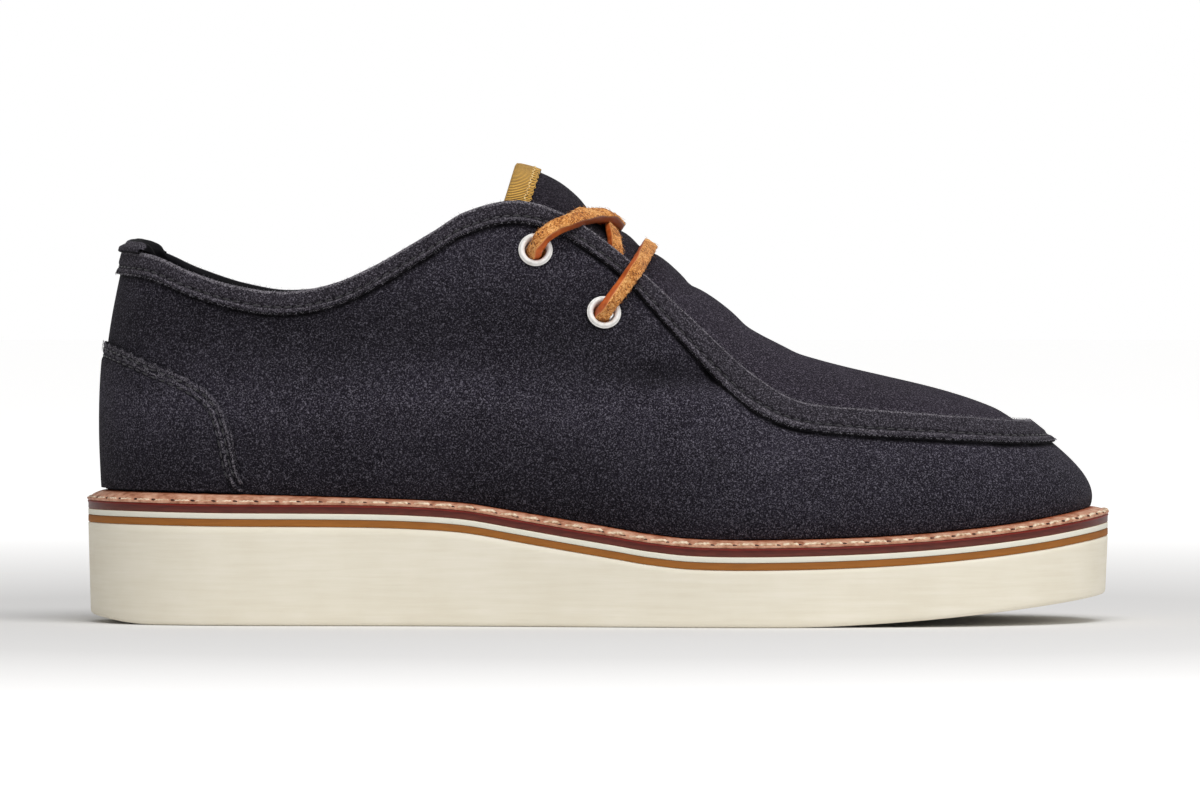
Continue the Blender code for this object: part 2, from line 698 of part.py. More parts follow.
def build_eyelet(level, side):
    """Rolled ring turned about its own axis, its face GAP above the wall."""
    barrel_end = -WALL - 0.0006
    profile = [(EYELET_HOLE, 0.0008), (0.0034, 0.0013), (0.0041, EYELET_HEIGHT), (0.0047, 0.0011),
               (EYELET_RIM, 0.0006), (0.0047, GAP), (EYELET_BARREL, GAP),
               (EYELET_BARREL, barrel_end), (0.0043, barrel_end), (0.0044, barrel_end - 0.0004),
               (0.0038, barrel_end - 0.0006), (EYELET_HOLE, barrel_end - 0.0004)]
    name = f"eyelet_{side}_{level}"
    mesh = bpy.data.meshes.new(name)
    edges = [(i, (i + 1) % len(profile)) for i in range(len(profile))]
    mesh.from_pydata([(radius, 0.0, height) for radius, height in profile], edges, [])
    mesh.materials.append(ENAMEL)
    made = bpy.data.objects.new(name, mesh)
    SHOE.objects.link(made)
    made.location, _, rotation = eyelet_frame(level, side == "medial")
    made.rotation_mode = "QUATERNION"
    made.rotation_quaternion = rotation
    turned = made.modifiers.new("turned", "SCREW")
    turned.steps = 20
    turned.render_steps = 20
    turned.use_merge_vertices = True
    turned.merge_threshold = 0.00001
    turned.use_smooth_shade = True


def cut_eyelet_holes(upper):
    for level in EYELET_PLACES:
        for side in ("lateral", "medial"):
            centre, _, rotation = eyelet_frame(level, side == "medial")
            bpy.ops.mesh.primitive_cylinder_add(vertices=20, radius=EYELET_BARREL + GAP,
                                                depth=0.010, location=centre)
            cutter = bpy.context.object
            cutter.name = f"hole_{side}_{level}"
            cutter.rotation_mode = "QUATERNION"
            cutter.rotation_quaternion = rotation
            cutter.hide_render = True
            cutter.display_type = "WIRE"
            for home in cutter.users_collection:
                home.objects.unlink(cutter)
            CUTTERS.objects.link(cutter)
            hole = upper.modifiers.new(cutter.name, "BOOLEAN")
            hole.operation = "DIFFERENCE"
            hole.solver = "EXACT"
            hole.object = cutter


def turn_on_top(x):
    return turn_at(x, TOP)


def over_tongue(x, across, lift):
    """Lace point above the tongue, with the normal there."""
    here, _, normal = apron_frame(turn_on_top(x), across)
    return here + normal * lift, normal


def over_wall(x, depth, lift, medial):
    """Lace point above the side wall or its band, a depth under the top edge."""
    turn = turn_on_top(x)
    turn = TURN - turn if medial else turn
    point = near_top(turn, depth, lift)
    return point, (point - near_top(turn, depth, lift - 0.001)).normalized()


def strap(name, stops):
    """Flat thong along a smooth line through stops, each a point and a normal."""
    points = [point for point, _ in stops]
    normals = [normal for _, normal in stops]
    path = []
    for i in range(len(points) - 1):
        for t in (0.0, 0.5):
            path.append(open_spline(points, i, t))
    path.append(points[-1])
    sections = []
    for k, point in enumerate(path):
        before, after = path[max(k - 1, 0)], path[min(k + 1, len(path) - 1)]
        ahead = (after - before).normalized()
        i, odd = divmod(k, 2)
        normal = normals[i] + normals[min(i + 1, len(normals) - 1)] if odd else normals[i]
        side = ahead.cross(normal).normalized()
        up = side.cross(ahead).normalized()
        corners = [(-1, -1), (1, -1), (1, 1), (-1, 1)]
        sections.append([point + side * (0.5 * LACE_WIDTH * a) + up * (0.5 * LACE_THICKNESS * b)
                         for a, b in corners])
    return loft(name, sections, THONG)


def open_spline(points, i, t):
    """Point on the open Catmull-Rom curve, between points i and i + 1."""
    a = points[max(i - 1, 0)]
    b, c = points[i], points[i + 1]
    d = points[min(i + 2, len(points) - 1)]
    return 0.5 * (2 * b + (c - a) * t + (2 * a - 5 * b + 4 * c - d) * t * t
                  + (3 * b - a - 3 * c + d) * t ** 3)


def bar_stops(level, wall_stops, tongue_stops, crown_stop):
    """Stops of a lace bar from the lateral eyelet over the crown to the medial one."""
    eyelet_lift = EYELET_HEIGHT + 2 * GAP + 0.5 * LACE_THICKNESS
    halves = []
    for medial in (False, True):
        centre, normal, _ = eyelet_frame(level, medial)
        half = [(centre + normal * eyelet_lift, normal)]
        half += [over_wall(x, depth, lift, medial) for x, depth, lift in wall_stops]
        half += [over_tongue(x, share if medial else -share, lift) for x, share, lift in tongue_stops]
        halves.append(half)
    x, lift = crown_stop
    return halves[0] + [over_tongue(x, 0.0, lift)] + halves[1][::-1]


def build_lace():
    clear = 2 * GAP + 0.5 * LACE_THICKNESS
    band_lift = GAP + BAND_THICKNESS + clear + 0.0004
    strap("lace_lower_bar", bar_stops(
        "lower", [(0.0060, 0.0055, band_lift), (0.0090, 0.0005, band_lift)],
        [(0.0125, 0.62, clear + 0.0006), (0.0148, 0.30, clear)], (0.0155, clear)))
    over_cross = clear + LACE_THICKNESS + GAP
    strap("lace_upper_bar", bar_stops(
        "upper", [(-0.0130, 0.0040, band_lift), (-0.0095, 0.0003, band_lift)],
        [(-0.0045, 0.68, over_cross), (0.0015, 0.36, over_cross)], (0.0060, over_cross)))
    cross_low = [(0.0042, 0.92), (0.0040, 0.62), (0.0034, 0.30)]
    cross_high = [(-0.0030, 0.30), (-0.0055, 0.62), (-0.0080, 0.92)]
    strands = []
    for name, low_side in (("lace_crossing", -1), ("lace_crossing_under", 1)):
        stops = [over_tongue(x, low_side * share, clear) for x, share in cross_low]
        stops.append(over_tongue(0.0012, 0.0, clear))
        stops += [over_tongue(x, -low_side * share, clear) for x, share in cross_high]
        strands.append(strap(name, stops))
    crossing, under = strands
    joined = crossing.modifiers.new("joined", "BOOLEAN")
    joined.operation = "UNION"
    joined.solver = "EXACT"
    joined.object = under
    under.hide_render = True
    under.display_type = "WIRE"
    SHOE.objects.unlink(under)
    CUTTERS.objects.link(under)


# ---------------------------------------------------------------- the shoe
build_welt()
build_layer("midsole_leather", welt_depth, leather_depth, WELT_OVERHANG - LAYER_SETBACK, BURNISHED)
build_layer("midsole_white", leather_depth, white_depth, WELT_OVERHANG - LAYER_SETBACK, WHITE_FOAM)
build_layer("midsole_tan", white_depth, tan_depth, WELT_OVERHANG - LAYER_SETBACK, TAN_FOAM)
build_outsole()
cut_eyelet_holes(build_upper())
build_insole()
build_apron_tongue()
build_tongue_binding()
build_collar_band()
build_heel_tab()
build_heel_counter()
for eyelet_level in EYELET_PLACES:
    for eyelet_side in ("lateral", "medial"):
        build_eyelet(eyelet_level, eyelet_side)
build_lace()
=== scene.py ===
"""Looks of a moccasin-toe chukka shoe: navy suede on a layered wedge sole."""
import math
from collections import namedtuple
from functools import lru_cache

import bpy
import numpy as np
from mathutils import Matrix, Vector, noise


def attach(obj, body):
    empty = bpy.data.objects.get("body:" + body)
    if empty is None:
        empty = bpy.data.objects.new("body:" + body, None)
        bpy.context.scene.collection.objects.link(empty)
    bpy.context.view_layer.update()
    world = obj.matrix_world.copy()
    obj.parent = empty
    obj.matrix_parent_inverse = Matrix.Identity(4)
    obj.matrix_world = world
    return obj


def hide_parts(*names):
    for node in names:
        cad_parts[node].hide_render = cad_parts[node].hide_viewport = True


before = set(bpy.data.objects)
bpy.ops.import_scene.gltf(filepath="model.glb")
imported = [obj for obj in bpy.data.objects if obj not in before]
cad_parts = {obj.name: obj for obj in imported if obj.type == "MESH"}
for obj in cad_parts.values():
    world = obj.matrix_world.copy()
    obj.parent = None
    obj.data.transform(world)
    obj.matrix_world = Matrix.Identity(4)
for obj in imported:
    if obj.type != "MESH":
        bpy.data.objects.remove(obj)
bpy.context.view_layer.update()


# ================================ side wall of the upper
# One piece of navy split suede wraps the heel, both quarters and the toe. It is cut, lined with
# dark calf leather, pulled over the last and turned in under the foot. The last's form is worked
# out here from sections across the foot, and every other piece of the shoe follows it.
SHOE_LENGTH = 0.296
BALL_WIDTH = 0.100
INSTEP_HEIGHT = 0.1215
HEEL_STACK = 0.038
GAP = 0.0003               # air between two pieces
WALL = 0.0020              # suede, stiffener and lining together
MEDIAL_LIFT = 0.0013       # the collar's medial side stands higher at the heel
MEDIAL_DROP = 0.0002       # and a little lower in front
LIFT_ACROSS = 0.012
LIFT_FROM_SHARE = 0.068
LIFT_TO_SHARE = 0.250
LOW_PULL = 0.35            # shares of the climb to the wall curve's two middle points
HIGH_PULL = 0.30
HALVINGS = 30
PACE = 0.02                # step of turn, or of across, that directions are measured over

# Sections, heel's back to toe tip: places are shares of SHOE_LENGTH, half widths shares of
# BALL_WIDTH at the welt and at the top edge; low and high push the wall out, in mm.
Section = namedtuple("Section", "along out inn top_along top_out top_inn low high")
SECTIONS = [
    Section(0.017, 0.000, 0.000, 0.037, 0.000, 0.000, 2.0, 6.0),
    Section(0.030, 0.140, 0.140, 0.047, 0.115, 0.115, 2.0, 6.0),
    Section(0.061, 0.240, 0.240, 0.071, 0.195, 0.195, 2.0, 6.0),
    Section(0.111, 0.305, 0.300, 0.117, 0.255, 0.250, 2.0, 5.5),
    Section(0.179, 0.330, 0.320, 0.179, 0.290, 0.280, 1.5, 5.0),
    Section(0.264, 0.340, 0.312, 0.260, 0.292, 0.280, 1.0, 5.0),
    Section(0.348, 0.360, 0.302, 0.343, 0.275, 0.260, 1.0, 7.0),
    Section(0.432, 0.395, 0.308, 0.426, 0.240, 0.230, 1.5, 9.0),
    Section(0.517, 0.440, 0.345, 0.514, 0.250, 0.240, 3.0, 11.0),
    Section(0.601, 0.475, 0.405, 0.601, 0.280, 0.275, 5.0, 10.0),
    Section(0.676, 0.485, 0.450, 0.672, 0.315, 0.310, 5.5, 8.5),
    Section(0.753, 0.460, 0.465, 0.743, 0.325, 0.335, 5.0, 7.0),
    Section(0.821, 0.430, 0.450, 0.804, 0.300, 0.325, 4.5, 7.0),
    Section(0.880, 0.365, 0.415, 0.855, 0.255, 0.300, 4.0, 8.0),
    Section(0.930, 0.265, 0.345, 0.892, 0.185, 0.250, 3.5, 8.5),
    Section(0.965, 0.130, 0.235, 0.912, 0.085, 0.165, 3.5, 9.0),
    Section(0.980, -0.050, 0.050, 0.919, -0.045, 0.045, 3.5, 9.0),
]
TOPLINE = [  # shares of INSTEP_HEIGHT
    (0.030, 0.882), (0.066, 0.870), (0.104, 0.831), (0.147, 0.799),
    (0.193, 0.785), (0.240, 0.803), (0.282, 0.847), (0.339, 0.928),
    (0.369, 0.973), (0.419, 1.000), (0.465, 0.968), (0.516, 0.883),
    (0.585, 0.728), (0.640, 0.603), (0.679, 0.539), (0.706, 0.519),
    (0.780, 0.503), (0.860, 0.486), (0.930, 0.470),
]
WELT_LINE = [  # shares of HEEL_STACK
    (0.000, 1.005), (0.070, 1.000), (0.160, 0.985), (0.250, 0.966),
    (0.322, 0.947), (0.372, 0.921), (0.421, 0.861), (0.473, 0.795),
    (0.518, 0.737), (0.548, 0.697), (0.593, 0.661), (0.668, 0.655),
    (0.770, 0.678), (0.850, 0.724), (0.920, 0.790), (1.000, 0.900),
]


def at(along):
    """X of a share of the shoe's length."""
    return (along - 0.5) * SHOE_LENGTH


def read(table, x, size):
    """Smooth height at x through a table of shares of the shoe's length and of a size."""
    places, heights = zip(*table)
    last = len(table) - 1
    along = min(max(x / SHOE_LENGTH + 0.5, places[0]), places[last])
    i = max(k for k in range(last) if places[k] <= along)

    def slope(k):
        before, after = max(k - 1, 0), min(k + 1, last)
        return (heights[after] - heights[before]) / (places[after] - places[before])

    run = places[i + 1] - places[i]
    t = (along - places[i]) / run
    value = ((2 * t ** 3 - 3 * t ** 2 + 1) * heights[i]
             + (t ** 3 - 2 * t ** 2 + t) * run * slope(i)
             + (3 * t ** 2 - 2 * t ** 3) * heights[i + 1]
             + (t ** 3 - t ** 2) * run * slope(i + 1))
    return value * size


def round_the_foot(lateral, medial):
    """Closed list of control values: heel's back, lateral side, toe tip, medial side."""
    last = len(SECTIONS) - 1
    return ([lateral(s) for s in SECTIONS]
            + [medial(SECTIONS[i]) for i in range(last - 1, 0, -1)])


FEATHER = round_the_foot(lambda s: Vector((at(s.along), -s.out * BALL_WIDTH)),
                         lambda s: Vector((at(s.along), s.inn * BALL_WIDTH)))
TOP = round_the_foot(lambda s: Vector((at(s.top_along), -s.top_out * BALL_WIDTH)),
                     lambda s: Vector((at(s.top_along), s.top_inn * BALL_WIDTH)))
BULGE = round_the_foot(lambda s: Vector((s.low, s.high)) * 0.001,
                       lambda s: Vector((s.low, s.high)) * 0.001)
TURN = len(FEATHER)        # one turn round the foot, in sections
TOE = len(SECTIONS) - 1    # turn value of the toe tip


def catmull_rom(a, b, c, d, t):
    """Point between b and c on the curve through four control values."""
    return 0.5 * (2 * b + (c - a) * t + (2 * a - 5 * b + 4 * c - d) * t * t
                  + (3 * b - a - 3 * c + d) * t ** 3)


def spline(controls, turn):
    """Point on the closed curve through controls."""
    i = math.floor(turn)
    return catmull_rom(*(controls[(i + k) % len(controls)] for k in (-1, 0, 1, 2)), turn - i)


def outward(controls, turn):
    """Unit normal of a closed plan curve, away from the foot."""
    along = spline(controls, turn + PACE) - spline(controls, turn - PACE)
    return Vector((-along.y, along.x)).normalized() * -1.0


def ring(turn, offset, height):
    """Point at a height, a distance outside the feather line."""
    plan = spline(FEATHER, turn) + outward(FEATHER, turn) * offset
    return Vector((plan.x, plan.y, height))


def soft_step(value, start, end):
    """0 before start, 1 after end, with a smooth rise between."""
    t = min(max((value - start) / (end - start), 0.0), 1.0)
    return t * t * (3 - 2 * t)


def welt_height(turn):
    """Height of the welt where the upper meets it."""
    return read(WELT_LINE, spline(FEATHER, turn).x, HEEL_STACK)


@lru_cache(maxsize=None)
def wall_curve(turn):
    """The four points of the curve that the wall follows upwards at one place round the foot."""
    foot = spline(FEATHER, turn)
    base = Vector((foot.x, foot.y, welt_height(turn)))
    plan = spline(TOP, turn)
    side = min(max(plan.y / LIFT_ACROSS, 0.0), 1.0)
    in_front = soft_step(plan.x, at(LIFT_FROM_SHARE), at(LIFT_TO_SHARE))
    lift = MEDIAL_LIFT - (MEDIAL_LIFT + MEDIAL_DROP) * in_front
    top = Vector((plan.x, plan.y, read(TOPLINE, plan.x, INSTEP_HEIGHT) + lift * side))
    push = outward(FEATHER, turn)
    low, high = spline(BULGE, turn)
    climb = top.z - base.z
    near = base + Vector((push.x * low, push.y * low, LOW_PULL * climb))
    far = top + Vector((push.x * high, push.y * high, -HIGH_PULL * climb))
    return base, near, far, top


def wall_middle(turn, rise):
    """Point on the outer face of the side wall, rise 0 at the welt and 1 at the top edge."""
    base, near, far, top = wall_curve(turn)
    u = 1 - rise
    return base * u ** 3 + near * 3 * u * u * rise + far * 3 * u * rise * rise + top * rise ** 3


def wall_normal(turn, rise):
    """Unit normal of the side wall's outer face."""
    low = max(rise - 0.5 * PACE, 0.0)
    up = wall_middle(turn, low + PACE) - wall_middle(turn, low)
    along = wall_middle(turn + PACE, rise) - wall_middle(turn - PACE, rise)
    return along.cross(up).normalized()


def wall(turn, rise, offset=0.0):
    """Point at a distance outside the side wall's outer face, measured along its normal."""
    return wall_middle(turn, rise) + wall_normal(turn, rise) * offset


DESCENT_STEPS = 60


@lru_cache(maxsize=None)
def descent(turn):
    """Lengths along the wall from the top edge down, in even steps of rise."""
    lengths = [0.0]
    before = wall_middle(turn, 1.0)
    for i in range(1, DESCENT_STEPS + 1):
        point = wall_middle(turn, 1 - i / DESCENT_STEPS)
        lengths.append(lengths[-1] + (point - before).length)
        before = point
    return lengths


def down_the_wall(turn, depth):
    """rise of the point that lies depth below the top edge, along the wall."""
    lengths = descent(turn)
    return 1 - float(np.interp(depth, lengths, range(len(lengths)))) / DESCENT_STEPS


def near_top(turn, depth, offset):
    """Point a depth under the top edge, or above it where depth is negative."""
    if depth >= 0:
        return wall(turn, down_the_wall(turn, depth), offset)
    climb = (wall_middle(turn, 1.0) - wall_middle(turn, 0.97)).normalized()
    return wall(turn, 1.0, offset) - climb * depth


# Soft creases pressed in by lasting and wear: a place on the side of the shoe in mm from its middle
# and from the floor, length, lean in degrees, half width and depth in mm (a ridge is negative).
Crease = namedtuple("Crease", "x height length lean width depth")
WALL_CREASES = [
    Crease(18.0, 72.5, 26.0, -5.0, 3.6, 1.3),
    Crease(17.0, 66.0, 40.0, -5.0, 4.5, -0.9),
    Crease(44.0, 47.0, 24.0, -24.0, 5.0, 0.5),
    Crease(-30.0, 84.0, 46.0, 12.0, 9.0, 0.7),
    Crease(-52.0, 68.0, 70.0, -3.0, 9.0, -0.9),
    Crease(-62.0, 52.0, 60.0, 4.0, 8.0, 0.5),
    Crease(-100.0, 84.0, 26.0, -20.0, 5.0, 0.5),
]
FORM_WAVES = 0.00025       # slow unevenness of the lasted leather
FORM_WAVE_LENGTH = 0.028


def creased(x, height, creases):
    """Depth of all creases at a place on the side of the shoe, in metres."""
    total = 0.0
    for crease in creases:
        lean = math.radians(crease.lean)
        across, up = 1000 * x - crease.x, 1000 * height - crease.height
        along = abs(across * math.cos(lean) + up * math.sin(lean)) - 0.5 * crease.length
        aside = up * math.cos(lean) - across * math.sin(lean)
        far = max(along, 0.0) / (1.5 * crease.width)
        total += crease.depth * math.exp(-(aside / crease.width) ** 2 - far ** 2)
    return 0.001 * total


def form_wave(point):
    """Height of the leather's slow unevenness at a point."""
    return FORM_WAVES * noise.noise(point / FORM_WAVE_LENGTH)


def lasted_wall(turn, rise, offset=0.0):
    """Point off the side wall with its creases and unevenness, calm along both edges."""
    point = wall_middle(turn, rise)
    calm = soft_step(rise, 0.0, 0.12) * (1 - soft_step(rise, 0.80, 0.93))
    shape = form_wave(point) - creased(point.x, point.z, WALL_CREASES)
    return wall(turn, rise, offset + calm * shape)


MERGE_WITHIN = 2e-6


def mend(fill=False):
    """Merges the active piece's doubled corners, fills its holes if asked, turns its faces out."""
    bpy.ops.object.mode_set(mode="EDIT")
    bpy.ops.mesh.select_all(action="SELECT")
    bpy.ops.mesh.remove_doubles(threshold=MERGE_WITHIN)
    if fill:
        bpy.ops.mesh.fill_holes(sides=0)
    bpy.ops.mesh.normals_make_consistent(inside=False)
    bpy.ops.object.mode_set(mode="OBJECT")


def shaped_grid(name, columns, rows, place, *materials):
    """A grid primitive with each corner put at place(u, v), its doubled edges merged."""
    bpy.ops.object.select_all(action="DESELECT")
    bpy.ops.mesh.primitive_grid_add(x_subdivisions=columns, y_subdivisions=rows, size=2)
    piece = bpy.context.object
    piece.name = name
    piece.data.name = name
    for vertex in piece.data.vertices:
        u = round((vertex.co.x + 1) / 2 * columns) / columns
        v = round((vertex.co.y + 1) / 2 * rows) / rows
        vertex.co = place(u, v)
    mend()
    bpy.ops.object.shade_smooth()
    for material in materials:
        piece.data.materials.append(material)
    return piece


def apply(piece, kind, **settings):
    """Adds one modifier to a piece and applies it."""
    bpy.ops.object.select_all(action="DESELECT")
    bpy.context.view_layer.objects.active = piece
    modifier = piece.modifiers.new(kind.lower(), kind)
    for name, value in settings.items():
        setattr(modifier, name, value)
    bpy.ops.object.modifier_apply(modifier=modifier.name)


def linear(code):
    """Linear colour of an sRGB hex value."""
    parts = [int(code[i:i + 2], 16) / 255 for i in (1, 3, 5)]
    return tuple(c / 12.92 if c <= 0.04045 else ((c + 0.055) / 1.055) ** 2.4
                 for c in parts) + (1.0,)


def new_material(name, **sockets):
    """A material with values set on its shader's own sockets."""
    made = bpy.data.materials.new(name)
    made.use_nodes = True
    shader = made.node_tree.nodes["Principled BSDF"]
    for socket, value in sockets.items():
        shader.inputs[socket.replace("_", " ")].default_value = value
    return made


def output_of(source):
    """An output itself, or the first one in use of a node."""
    if isinstance(source, bpy.types.NodeSocket):
        return source
    return next(output for output in source.outputs if output.enabled)


def add_node(surface, kind, settings=(), values=(), links=(), stops=()):
    """Adds a node: its own settings, its inputs' values and links, and the stops of a ramp.

    A stop's tone is a hex value, or a linear grey. A ramp begins with two elements, which take
    its first and last stop.
    """
    node = surface.node_tree.nodes.new("ShaderNode" + kind)
    for name, value in dict(settings).items():
        setattr(node, name, value)
    for name, value in dict(values).items():
        node.inputs[name].default_value = value
    for name, source in dict(links).items():
        surface.node_tree.links.new(output_of(source), node.inputs[name])
    for i, (position, tone) in enumerate(stops[:1] + stops[-1:] + stops[1:-1]):
        elements = node.color_ramp.elements
        stop = elements[i] if i < 2 else elements.new(position)
        stop.position = position
        stop.color = linear(tone) if isinstance(tone, str) else (tone, tone, tone, 1.0)
    return node


def link(surface, source, socket):
    """Links an output or a node to the shader's input."""
    shader = surface.node_tree.nodes["Principled BSDF"]
    surface.node_tree.links.new(output_of(source), shader.inputs[socket])


COLOUR_MIX = {"data_type": "RGBA"}
MULTIPLIED = {"data_type": "RGBA", "blend_type": "MULTIPLY"}


def mottled(name, size, detail, tones, relief=None, **sockets):
    """A material whose tones wander in patches of a size, over a finer relief where one is given.

    relief is a size and detail of its own, the bump's strength and its depth.
    """
    made = new_material(name, **sockets)
    place = add_node(made, "TexCoord").outputs["Object"]
    patches = add_node(made, "TexNoise", values={"Scale": 1 / size, "Detail": detail},
                       links={"Vector": place})
    colour = add_node(made, "ValToRGB", links={"Fac": patches}, stops=tones)
    link(made, colour, "Base Color")
    if relief:
        fine_size, fine_detail, strength, depth = relief
        fine = add_node(made, "TexNoise", values={"Scale": 1 / fine_size, "Detail": fine_detail},
                        links={"Vector": place})
        bump = add_node(made, "Bump", values={"Strength": strength, "Distance": depth},
                        links={"Height": fine})
        link(made, bump, "Normal")
    return made


# Split suede, brushed and dyed navy: no gloss, a soft edge glow from the upright fibres, and light
# flecks where bundles of fibres catch the light. The nap is finer than can be drawn, so its grain
# is drawn at 0.3 mm, its flecks at 0.45 mm and the brushed streaks at 6 and 30 mm. Painted light
# and shade multiply its colour: bands of painted highlight and shade by height, which differ from
# the heel to the toe, and painted shade in the hollow under the lower eyelet. A float attribute on
# the piece paints shade above 0, along thread, cut edges and under the band's edge, and paints
# pale scuffs and highlights below 0, where the nap is raised and rubbed.
NAP = 0.0003
FLECKS = 0.00045
STREAKS = 0.0060
PATCHES = 0.0300
SHADING_FROM = 0.030       # heights over which the painted light and shade change
SHADING_TO = 0.120
SHADING_WANDER = 0.012
HEEL_SHADING_TO = 0.004    # X between which the heel's painted shading gives way to the toe's
TOE_SHADING_FROM = 0.044
HOLLOW = (0.019, 0.0, 0.0725)
HOLLOW_SIZE = (0.026, 1e6, 0.0060)


def suede(name, deep, ground, light, fleck, painted_shading):
    """Suede of four tones; the last argument is rows of height share and painted light level
    (painted shade below 1, painted highlight above), at heel and at toe.
    """
    made = new_material(name, Roughness=0.95, Sheen_Weight=0.08, Sheen_Roughness=0.35,
                        Sheen_Tint=linear("#A09CA3"), Specular_IOR_Level=0.10)
    place = add_node(made, "TexCoord").outputs["Object"]
    nap = add_node(made, "TexNoise", values={"Scale": 1 / NAP, "Detail": 2.0, "Roughness": 0.6},
                   links={"Vector": place}).outputs["Fac"]
    tufts = add_node(made, "TexNoise", values={"Scale": 1 / FLECKS, "Detail": 3.0,
                                               "Roughness": 0.7, "Distortion": 0.4},
                     links={"Vector": place}).outputs["Fac"]
    streaks = add_node(made, "TexNoise", values={"Scale": 1 / STREAKS, "Detail": 4.0,
                                                 "Roughness": 0.6, "Distortion": 0.8},
                       links={"Vector": place}).outputs["Fac"]
    patches = add_node(made, "TexNoise", values={"Scale": 1 / PATCHES, "Detail": 2.0,
                                                 "Roughness": 0.5}, links={"Vector": place})

    # the dyed ground and the light flecks over it
    brushed = add_node(made, "Mix", values={"Factor": 0.4}, links={"A": streaks, "B": patches})
    mixed = add_node(made, "Mix", values={"Factor": 0.25}, links={"A": nap, "B": brushed})
    dyed = add_node(made, "ValToRGB", links={"Fac": mixed},
                    stops=[(0.36, deep), (0.49, ground), (0.63, light)])
    bright = add_node(made, "ValToRGB", links={"Fac": tufts}, stops=[(0.51, 0.0), (0.69, 0.9)])

    # painted highlight and shade by height, at the heel and at the toe
    painted_light_wander_point = add_node(made, "VectorMath", settings={"operation": "MULTIPLY_ADD"},
                        values={1: (SHADING_WANDER, SHADING_WANDER, SHADING_WANDER)},
                        links={0: patches.outputs["Color"], 2: place})
    painted_light_spot = add_node(made, "SeparateXYZ", links={"Vector": painted_light_wander_point})
    level = add_node(made, "MapRange", values={"From Min": SHADING_FROM + 0.5 * SHADING_WANDER,
                                               "From Max": SHADING_TO + 0.5 * SHADING_WANDER},
                     links={"Value": painted_light_spot.outputs["Z"]})
    painted_light_toward_toe = add_node(made, "MapRange", values={"From Min": HEEL_SHADING_TO,
                                                    "From Max": TOE_SHADING_FROM},
                          links={"Value": painted_light_spot.outputs["X"]})
    painted_light_ramps = [add_node(made, "ValToRGB", links={"Fac": level}, stops=rows) for rows in painted_shading]
    painted_light_level = add_node(made, "Mix", settings=COLOUR_MIX,
                   links={"Factor": painted_light_toward_toe, "A": painted_light_ramps[0], "B": painted_light_ramps[1]})
    ground_with_painted_light = add_node(made, "Mix", settings=MULTIPLIED, values={"Factor": 1.0},
                      links={"A": dyed, "B": painted_light_level})
    fleck_with_painted_light = add_node(made, "Mix", settings=MULTIPLIED, values={"Factor": 0.85, "A": linear(fleck)},
                      links={"B": painted_light_level})
    colour = add_node(made, "Mix", settings=COLOUR_MIX,
                      links={"Factor": bright, "A": ground_with_painted_light, "B": fleck_with_painted_light})

    # painted shade in the hollow under the lower eyelet
    in_hollow = add_node(made, "Mapping",
                         values={"Scale": tuple(1 / size for size in HOLLOW_SIZE),
                                 "Location": tuple(-middle / size for middle, size
                                                   in zip(HOLLOW, HOLLOW_SIZE))},
                         links={"Vector": place})
    from_hollow = add_node(made, "VectorMath", settings={"operation": "LENGTH"},
                           links={0: in_hollow})
    hollow = add_node(made, "ValToRGB", links={"Fac": from_hollow},
                      stops=[(0.1, 0.48), (0.45, 0.66), (1.0, 1.0)])
    shaded = add_node(made, "Mix", settings=MULTIPLIED, values={"Factor": 1.0},
                      links={"A": colour, "B": hollow})

    # painted shade above 0 of the attribute, pale scuffs with painted highlight below it
    painted_shade_and_highlight = add_node(made, "Attribute", settings={"attribute_name": "painted_shade_and_highlight"}).outputs["Fac"]
    painted_groove_shade = add_node(made, "Mix", settings=COLOUR_MIX, values={"B": linear("#070609")},
                         links={"Factor": painted_shade_and_highlight, "A": shaded})
    rubbed_highlight = add_node(made, "MapRange", values={"From Min": 0.0, "From Max": -1.0},
                      links={"Value": painted_shade_and_highlight})
    rubbed_highlight_tufts = add_node(made, "ValToRGB", links={"Fac": tufts},
                            stops=[(0.44, 0.0), (0.62, 1.0)])
    scuffs_and_highlights = add_node(made, "Math", settings={"operation": "MULTIPLY"},
                      links={0: rubbed_highlight, 1: rubbed_highlight_tufts})
    scuffed_and_highlit = add_node(made, "Mix", settings=COLOUR_MIX, values={"B": linear("#A39EA6")},
                       links={"Factor": scuffs_and_highlights, "A": painted_groove_shade})
    link(made, scuffed_and_highlit, "Base Color")
    raised = add_node(made, "Math", settings={"operation": "ADD"}, links={0: nap, 1: tufts})
    bump = add_node(made, "Bump", values={"Strength": 0.7, "Distance": 0.0004},
                    links={"Height": raised})
    link(made, bump, "Normal")
    return made


# Smooth calf lining, dyed black: a faint sheen on a tight grain, worn a little duller in patches.
LINING_GRAIN = 0.0008
lining = mottled("black_calf_lining", 0.015, 3.0, [(0.35, "#0B0A0D"), (0.65, "#141317")],
                 Roughness=0.6, Specular_IOR_Level=0.06)
lining_place = add_node(lining, "TexCoord").outputs["Object"]
lining_grain = add_node(lining, "TexVoronoi", values={"Scale": 1 / LINING_GRAIN},
                        links={"Vector": lining_place})
lining_bump = add_node(lining, "Bump", values={"Strength": 0.25, "Distance": 0.0002},
                       links={"Height": lining_grain})
link(lining, lining_bump, "Normal")

